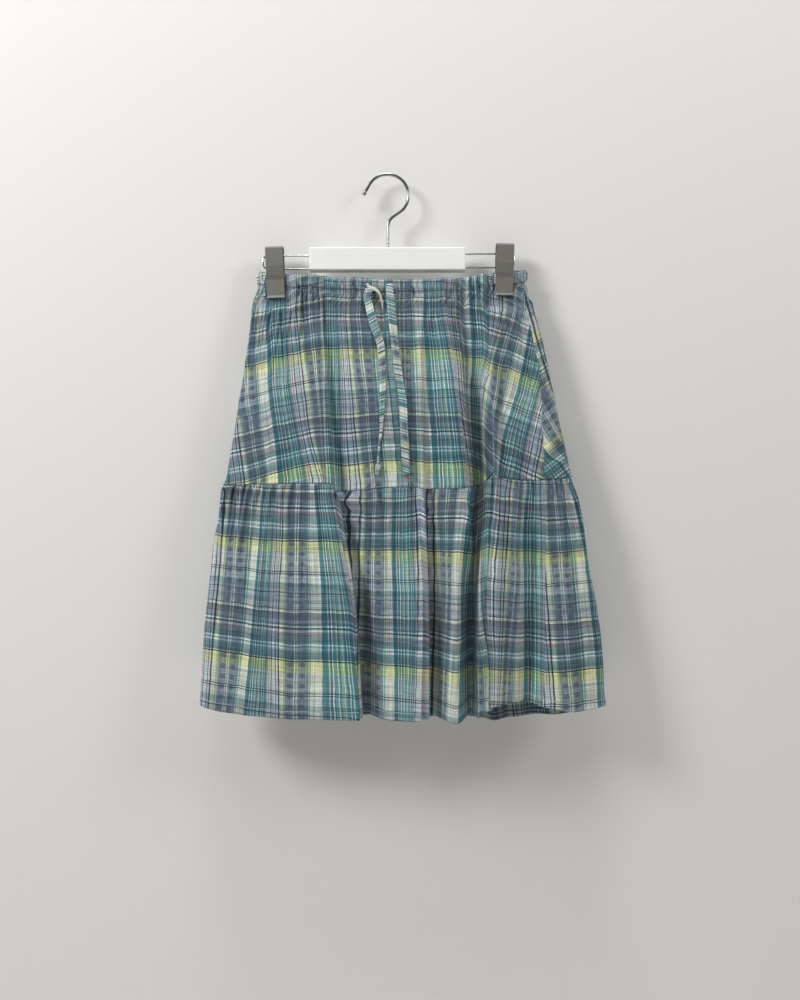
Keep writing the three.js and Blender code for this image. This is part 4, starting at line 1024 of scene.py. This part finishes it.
TIE = dict(thick=1.6, clear=0.3)
TIE_LEFT_ROUTE = [
    dict(x=-21.8, z=-138.5, width=9.4), dict(x=-23.6, z=-149.5, width=9.4),
    dict(x=-21.4, z=-160.0, width=9.4), dict(x=-18.8, z=-170.6, width=9.4),
    dict(x=-16.4, z=-180.0, width=9.4), dict(x=-13.8, z=-188.6, width=9.4),
    dict(x=-10.6, z=-197.6, width=9.2), dict(x=-7.8, z=-206.6, width=8.6),
    dict(x=-6.4, z=-220.0, width=8.4), dict(x=-5.9, z=-235.3, width=8.8),
    dict(x=-5.4, z=-258.0, width=7.6), dict(x=-6.0, z=-280.0, width=6.2),
    dict(x=-6.9, z=-301.8, width=4.2), dict(x=-8.5, z=-318.0, width=2.8),
    dict(x=-10.1, z=-333.7, width=2.6, lift=0.8), dict(x=-10.7, z=-346.1, width=3.2, lift=2.4),
]
TIE_RIGHT_ROUTE = [
    dict(x=2.6, z=-133.0, width=8.6), dict(x=3.4, z=-142.0, width=9.0),
    dict(x=4.2, z=-152.0, width=9.4), dict(x=5.1, z=-164.0, width=9.4),
    dict(x=6.1, z=-177.0, width=9.4), dict(x=7.6, z=-192.0, width=9.4),
    dict(x=9.4, z=-208.0, width=9.4), dict(x=11.4, z=-225.0, width=9.4),
    dict(x=13.6, z=-243.0, width=9.2), dict(x=16.2, z=-258.0, width=8.8),
    dict(x=18.2, z=-272.0, width=8.6), dict(x=19.2, z=-290.0, width=9.2),
    dict(x=19.9, z=-308.0, width=9.6), dict(x=20.8, z=-325.0, width=9.6),
    dict(x=21.4, z=-342.0, width=9.6), dict(x=21.9, z=-359.5, width=9.4),
]
KNOT = dict(x=-10.9, z=-353.4, width=9, depth=6.6, height=14)
# Which warp crosses the end where it leaves the casing, how the warps count down it, and the
# slant of the threads across it.
TIE_LEFT_THREADS = dict(warp=-78, way=1.0, weft=27, slant=0.35)
TIE_RIGHT_THREADS = dict(warp=94, way=-0.96, weft=28, slant=0.35)


def front_at(x, z, reach):
    """Most that the front stands out within a strip's width at a height."""
    places = np.array([x - reach, x - reach / 2, x, x + reach / 2, x + reach])
    return float(cloth_point(turn_at(places, z, True), z, 0)[1].min())


def cloth_relief(z):
    drop = -123 - z
    if drop < CASING_DEPTH + 2:
        return 2.5
    return 2.7 - 1.7 * float(smooth_step(drop, 30, 75))


def tie_path(route):
    points = []
    for row in route:
        cloth = front_at(row["x"], row["z"], row["width"] / 2) - cloth_relief(row["z"])
        points.append((row["x"], cloth - TIE["clear"] - TIE["thick"] / 2 - row.get("lift", 0), row["z"]))
    return np.array(points)


def tie_object(name, route, threads, seed):
    """Flat tube of cloth down a route, with rolled edges and a soft ripple along it."""
    path = tie_path(route)
    keys = np.arange(len(route))
    steps = np.linspace(0, len(route) - 1, 110)
    centre = np.stack([smooth_curve(keys, path[:, axis], steps) for axis in range(3)], axis=1)
    width = smooth_curve(keys, [row["width"] for row in route], steps)
    run = np.gradient(centre, axis=0)
    run /= np.linalg.norm(run, axis=1)[:, None]
    length = np.concatenate([[0], np.cumsum(np.linalg.norm(np.diff(centre, axis=0), axis=1))])
    around = 20
    angle = (np.arange(around) + 0.5) / around * 2 * math.pi
    across = np.sign(np.cos(angle)) * np.abs(np.cos(angle)) ** 0.6
    points, warp, weft = [], [], []
    for i in range(len(steps)):
        aside = np.array([-run[i][2], 0, run[i][0]])
        curl = 0.12 * width[i] * float(soft_noise(np.array(length[i] / 26), np.array(0.0), seed))
        edge = np.cos(angle) ** 2
        thick = TIE["thick"] / 2 * (0.8 + 0.35 * edge)
        ripple = 0.22 * soft_noise(np.full(around, length[i] / 7), across * 1.4, seed + 1)
        out = np.sin(angle) * thick + ripple - curl * across * 0.3
        ragged = width[i] / 2 * (1 + 0.07 * soft_noise(np.full(around, length[i] / 9), np.sign(across),
            seed + 2))
        points.append(centre[i] + np.outer(across * ragged, aside) + np.outer(-out, [0, 1, 0]))
        warp.append(threads["warp"] + threads["way"] * length[i] + threads["slant"] * across * width[i] / 2)
        weft.append(threads["weft"] + across * width[i] / 2 + 0 * angle)
    points, warp, weft = np.array(points), np.array(warp), np.array(weft)
    mesh = bpy.data.meshes.new(name)
    number = np.arange(points.shape[0] * around).reshape(-1, around)
    ahead = np.roll(number, -1, axis=1)
    faces = np.stack([number[:-1], ahead[:-1], ahead[1:], number[1:]], axis=-1).reshape(-1, 4).tolist()
    faces += [number[0][::-1].tolist(), number[-1].tolist()]
    mesh.from_pydata((points.reshape(-1, 3) * MM).tolist(), [], faces)
    corners = [vertex for face in faces for vertex in face]
    for layer, grid in (("threads", np.stack([warp, weft], axis=-1)), ("edges",
        np.stack([warp * 0 + 1, weft], axis=-1))):
        mesh.uv_layers.new(name=layer).data.foreach_set("uv", (grid.reshape(-1, 2)[corners] * MM).ravel())
    mesh.polygons.foreach_set("use_smooth", [True] * len(mesh.polygons))
    tie = bpy.data.objects.new(name, mesh)
    scene.collection.objects.link(tie)
    return tie, path


def knot_object():
    """Overhand knot pulled tight: turns of the strip round one another, and a narrower neck low down."""
    rows, around = 26, 32
    across = np.linspace(0, math.pi, rows)[:, None]
    angle = np.arange(around)[None, :] / around * 2 * math.pi
    turn = 0.16 * np.sin(3 * across + 2 * angle) + 0.10 * np.sin(2 * angle - 5 * across) + 0.05 * np.sin(7 * angle + 4 * across)
    waist = 1 - 0.28 * np.exp(-((across - 2.05) / 0.22) ** 2)
    radius = (0.86 + turn) * waist
    x = KNOT["width"] / 2 * radius * np.sin(across) * np.cos(angle)
    y = KNOT["depth"] / 2 * radius * np.sin(across) * np.sin(angle)
    z = KNOT["height"] / 2 * np.cos(across) * (1 + 0.04 * np.sin(5 * angle)) + 0 * angle
    cloth = front_at(KNOT["x"], KNOT["z"], KNOT["width"] / 2) - cloth_relief(KNOT["z"])
    points = np.stack([x + KNOT["x"], y + cloth - KNOT["depth"] / 2, z + KNOT["z"]], axis=-1)
    number = np.arange(rows * around).reshape(rows, around)
    ahead = np.roll(number, -1, axis=1)
    faces = np.stack([number[:-1], number[1:], ahead[1:], ahead[:-1]], axis=-1).reshape(-1, 4).tolist()
    mesh = bpy.data.meshes.new("tie_knot_cloth")
    mesh.from_pydata((points.reshape(-1, 3) * MM).tolist(), [], faces)
    corners = [vertex for face in faces for vertex in face]
    grid = np.stack([52 + 6 * angle + 4 * across, 3 * across + 18 + 2 * np.cos(angle)], axis=-1)
    for layer in ("threads", "edges"):
        mesh.uv_layers.new(name=layer).data.foreach_set("uv", (grid.reshape(-1, 2)[corners] * MM).ravel())
    mesh.polygons.foreach_set("use_smooth", [True] * len(mesh.polygons))
    knot = bpy.data.objects.new("tie_knot_cloth", mesh)
    scene.collection.objects.link(knot)
    return knot


SLIT_LIP = [
    dict(x=-24.8, z=-132.0, width=3.6), dict(x=-22.4, z=-136.2, width=5.4), dict(x=-17.0, z=-138.6,
        width=5.6),
    dict(x=-11.8, z=-141.4, width=4.6), dict(x=-8.6, z=-146.4, width=3.4), dict(x=-6.9, z=-152.0,
        width=2.4),
    dict(x=-5.9, z=-158.0, width=1.6), dict(x=-5.4, z=-163.0, width=0.8),
]


def slit_lip():
    """Rolled lip of the slit that the drawstring leaves by, standing up from the casing."""
    route = np.array([(row["x"], row["z"]) for row in SLIT_LIP], float)
    keys, steps, around = np.arange(len(route)), np.linspace(0, len(route) - 1, 60), 12
    x, z = smooth_curve(keys, route[:, 0], steps), smooth_curve(keys, route[:, 1], steps)
    width = smooth_curve(keys, [row["width"] for row in SLIT_LIP], steps)
    run = np.stack([np.gradient(x), np.gradient(z)], axis=1)
    run /= np.linalg.norm(run, axis=1)[:, None]
    angle = np.arange(around) / around * 2 * math.pi
    points = []
    for i in range(len(steps)):
        cloth = front_at(x[i], z[i], 1.5)
        across, out = np.cos(angle) * width[i] / 2, np.sin(angle) * 0.9 + 1.5
        points.append(np.stack([x[i] - across * run[i][1], cloth - out, z[i] + across * run[i][0]], axis=1))
    points = np.array(points)
    number = np.arange(len(steps) * around).reshape(-1, around)
    ahead = np.roll(number, -1, axis=1)
    faces = np.stack([number[:-1], ahead[:-1], ahead[1:], number[1:]], axis=-1).reshape(-1, 4).tolist()
    faces += [number[0][::-1].tolist(), number[-1].tolist()]
    mesh = bpy.data.meshes.new("slit_lip")
    mesh.from_pydata((points.reshape(-1, 3) * MM).tolist(), [], faces)
    corners = [vertex for face in faces for vertex in face]
    length = np.concatenate([[0], np.cumsum(np.hypot(np.diff(x), np.diff(z)))])
    grid = np.stack([2.6 + np.outer(width, np.cos(angle)) * 0.5, 19 + 0.12 * length[:, None] + 0 * angle],
        axis=-1)
    for layer in ("threads", "edges"):
        mesh.uv_layers.new(name=layer).data.foreach_set("uv", (grid.reshape(-1, 2)[corners] * MM).ravel())
    mesh.polygons.foreach_set("use_smooth", [True] * len(mesh.polygons))
    lip = bpy.data.objects.new("slit_lip", mesh)
    scene.collection.objects.link(lip)
    return lip


TIE_COTTON = checked_cotton("checked_cotton_tie")
lip = slit_lip()
lip.data.materials.append(TIE_COTTON)
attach(lip, "root")
tie_left, tie_left_path = tie_object("tie_left_cloth", TIE_LEFT_ROUTE, TIE_LEFT_THREADS, 5)
tie_right, tie_right_path = tie_object("tie_right_cloth", TIE_RIGHT_ROUTE, TIE_RIGHT_THREADS, 7)
knot = knot_object()
for piece, node in ((tie_left, "tie_left"), (tie_right, "tie_right"), (knot, "tie_knot")):
    piece.data.materials.append(TIE_COTTON)
    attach(piece, "root")
    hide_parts(node)

# ---- Hanger ---------------------------------------------------------------------------------
# A white-painted wooden bar, a chrome wire hook screwed into it, a U of wire out of each end,
# and on each U a folded clip of grey spring steel that slides along and grips the waist.

HOOK = dict(wire=3.5, radius=25.2, stem_x=0.6, tip=(-29.4, -23.4), bead=5.6)
BAR_TOP = -87.6


def surface_change(name, scale, detail):
    """Uneven patches over a surface, from 0 to 1, the same from every side."""
    group, given, result = new_group(
        name, [("Size", "NodeSocketFloat", scale)], [("Patches", "NodeSocketFloat"),
            ("Fine", "NodeSocketFloat")])
    place = put(group, "ShaderNodeTexCoord")
    patches = put(group, "ShaderNodeTexNoise", {"Vector": place.outputs["Object"],
        "Scale": given.outputs["Size"], "Detail": detail})
    fine = put(group, "ShaderNodeTexNoise", {"Vector": place.outputs["Object"],
        "Scale": reckon(group, "MULTIPLY", given.outputs["Size"], 14.0), "Detail": 2.0})
    group.links.new(patches.outputs["Fac"], result.inputs["Patches"])
    group.links.new(fine.outputs["Fac"], result.inputs["Fine"])
    return group


PATCHES = surface_change("surface patches", 40.0, 3.0)


def hard_finish(name, light, dark, roughness, metallic, size, bump):
    """Paint or metal: two close tones in patches, with a fine uneven surface."""
    material = bpy.data.materials.new(name)
    material.use_nodes = True
    tree = material.node_tree
    shader = tree.nodes["Principled BSDF"]
    patches = put(tree, "ShaderNodeGroup", node_tree=PATCHES)
    patches.inputs["Size"].default_value = size
    tone = blend(tree, patches.outputs["Patches"], linear(dark), linear(light))
    tree.links.new(tone, shader.inputs["Base Color"])
    rough = reckon(tree, "MULTIPLY_ADD", patches.outputs["Fine"], 0.14, roughness - 0.07)
    tree.links.new(rough, shader.inputs["Roughness"])
    relief = put(tree, "ShaderNodeBump", {"Strength": bump, "Distance": 0.0002,
        "Height": patches.outputs["Fine"]})
    tree.links.new(relief.outputs[0], shader.inputs["Normal"])
    shader.inputs["Metallic"].default_value = metallic
    return material


def brushed_steel(name, light, dark, roughness):
    """Grey spring steel, brushed along its length, with a dull coat."""
    material = hard_finish(name, light, dark, roughness, 0.4, 60.0, 0.05)
    tree = material.node_tree
    shader = tree.nodes["Principled BSDF"]
    place = put(tree, "ShaderNodeTexCoord")
    stretched = put(tree, "ShaderNodeVectorMath", {0: place.outputs["Object"], 1: (2400, 2400, 30)},
        operation="MULTIPLY")
    brushing = put(tree, "ShaderNodeTexNoise", {"Vector": stretched.outputs[0], "Scale": 1.0,
        "Detail": 2.0})
    relief = put(tree, "ShaderNodeBump", {"Strength": 0.12, "Distance": 0.0001,
        "Height": brushing.outputs["Fac"]})
    tree.links.new(relief.outputs[0], shader.inputs["Normal"])
    return material


def wire_object(name, points, diameter, bead=0.0):
    """Round wire through the points, with a rounded bead at its first end."""
    points = np.array(points, float)
    reach = np.concatenate([[0], np.cumsum(np.linalg.norm(np.diff(points, axis=0), axis=1))])
    steps = np.linspace(0, reach[-1], 240)
    centre = np.stack([smooth_curve(reach, points[:, axis], steps) for axis in range(3)], axis=1)
    run = np.gradient(centre, axis=0)
    run /= np.linalg.norm(run, axis=1)[:, None]
    radius = np.full(len(steps), diameter / 2)
    if bead:
        near = np.clip(steps / bead, 0, 1)
        radius = np.maximum(radius * np.sqrt(np.clip(steps / 0.6, 0, 1)),
            bead / 2 * np.sqrt(np.clip(1 - (2 * near - 1) ** 2, 0, 1)))
    around = 20
    angle = np.arange(around) / around * 2 * math.pi
    side = np.array([0.0, 1.0, 0.0])
    verts = []
    for i in range(len(steps)):
        up = np.cross(run[i], side)
        verts.append(centre[i] + radius[i] * (np.outer(np.cos(angle), side) + np.outer(np.sin(angle), up)))
    number = np.arange(len(steps) * around).reshape(-1, around)
    ahead = np.roll(number, -1, axis=1)
    faces = np.stack([number[:-1], ahead[:-1], ahead[1:], number[1:]], axis=-1).reshape(-1, 4).tolist()
    faces += [number[0][::-1].tolist(), number[-1].tolist()]
    mesh = bpy.data.meshes.new(name)
    mesh.from_pydata((np.array(verts).reshape(-1, 3) * MM).tolist(), [], faces)
    mesh.polygons.foreach_set("use_smooth", [True] * len(mesh.polygons))
    wire = bpy.data.objects.new(name, mesh)
    scene.collection.objects.link(wire)
    return wire


hook_points = [(HOOK["tip"][0], 0, HOOK["tip"][1])]
hook_centre = HOOK["wire"] / 2 - HOOK["radius"]
for degrees in range(158, -47, -12):
    angle = math.radians(degrees)
    hook_points.append((HOOK["radius"] * math.cos(angle), 0,
        hook_centre + HOOK["radius"] * math.sin(angle)))
hook_points += [(4.2, 0, -51.6), (HOOK["stem_x"] + 0.4, 0, -58), (HOOK["stem_x"], 0, -66), (HOOK["stem_x"],
    0, BAR_TOP + 0.3)]
CHROME = hard_finish("bright_wire_chrome", (168, 169, 170), (120, 122, 124), 0.24, 1.0, 60.0, 0.03)
hook = wire_object("hook_wire", hook_points, HOOK["wire"], HOOK["bead"])
hook.data.materials.append(CHROME)
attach(hook, "root")
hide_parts("hanger_hook")


def dress(node, material):
    """Gives a node of the frame its finish."""
    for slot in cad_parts[node].material_slots:
        slot.material = material


dress("hanger_bar", hard_finish("painted_wood_white", (240, 240, 237), (230, 230, 226), 0.42, 0.0, 22.0,
    0.12))
for node in ("rail_left", "rail_right", "slider_left", "slider_right"):
    dress(node, CHROME)
CLIP_STEEL = brushed_steel("clip_steel_grey", (122, 121, 115), (108, 107, 102), 0.62)
for node in ("clip_left", "clip_right"):
    dress(node, CLIP_STEEL)

# ---- Stage ----------------------------------------------------------------------------------
# A pale wall close behind, which leans away a little towards its foot, a pale floor well below,
# and soft light from above and from both sides.

WALL_FOOT, WALL_TOP = (118.8, -1500), (-49.2, 900)
FLOOR_Z = -1500


def stage_plane(name, corners, colour, one_sided):
    mesh = bpy.data.meshes.new(name)
    mesh.from_pydata([[c * MM for c in corner] for corner in corners], [], [(0, 1, 2, 3)])
    plane = bpy.data.objects.new(name, mesh)
    scene.collection.objects.link(plane)
    material = bpy.data.materials.new(name)
    material.use_nodes = True
    tree = material.node_tree
    shader = tree.nodes["Principled BSDF"]
    shader.inputs["Base Color"].default_value = colour
    shader.inputs["Roughness"].default_value = 0.95
    shader.inputs["Specular IOR Level"].default_value = 0.1
    if one_sided:
        facing = put(tree, "ShaderNodeNewGeometry")
        clear = put(tree, "ShaderNodeBsdfTransparent")
        rays = put(tree, "ShaderNodeLightPath")
        open_way = reckon(tree, "MAXIMUM", facing.outputs["Backfacing"], rays.outputs["Is Shadow Ray"])
        mix = put(tree, "ShaderNodeMixShader", {0: open_way, 1: shader.outputs[0], 2: clear.outputs[0]})
        tree.links.new(mix.outputs[0], tree.nodes["Material Output"].inputs[0])
    mesh.materials.append(material)
    plane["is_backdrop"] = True
    return plane


stage_plane("wall", [(-3000, *WALL_FOOT), (3000, *WALL_FOOT), (3000, *WALL_TOP), (-3000, *WALL_TOP)],
            (0.80, 0.785, 0.76, 1), True)
stage_plane("floor", [(-3000, -3000, FLOOR_Z), (3000, -3000, FLOOR_Z), (3000, 3000, FLOOR_Z), (-3000, 3000,
    FLOOR_Z)],
            (0.74, 0.73, 0.71, 1), False)

world = bpy.data.worlds.new("room")
world.use_nodes = True
world.node_tree.nodes["Background"].inputs[0].default_value = (0.98, 0.98, 1.0, 1)
world.node_tree.nodes["Background"].inputs[1].default_value = 0.15
scene.world = world


def soft_light(name, place, aim, size, power):
    lamp = bpy.data.lights.new(name, "AREA")
    lamp.shape = "DISK"
    lamp.size = size
    lamp.energy = power
    light = bpy.data.objects.new(name, lamp)
    light.location = place
    way = [a - p for a, p in zip(aim, place)]
    light.rotation_euler = (math.atan2(math.hypot(way[0], way[1]), -way[2]), 0, math.atan2(way[0],
        -way[1]) + math.pi)
    scene.collection.objects.link(light)


soft_light("left_light", (-1.8, -1.3, 1.0), (0, 0, -0.35), 0.8, 45)
soft_light("right_light", (1.9, -1.2, 0.9), (0, 0, -0.35), 0.8, 17)
soft_light("ceiling_light", (-0.15, -0.6, 1.9), (0, 0, -0.4), 0.8, 32)
soft_light("back_light", (0.9, 1.8, -0.3), (0, 0, -0.4), 0.8, 9)

size = dict(solids=[list(corner) for corner in solid_box], shown=[list(corner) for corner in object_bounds()])
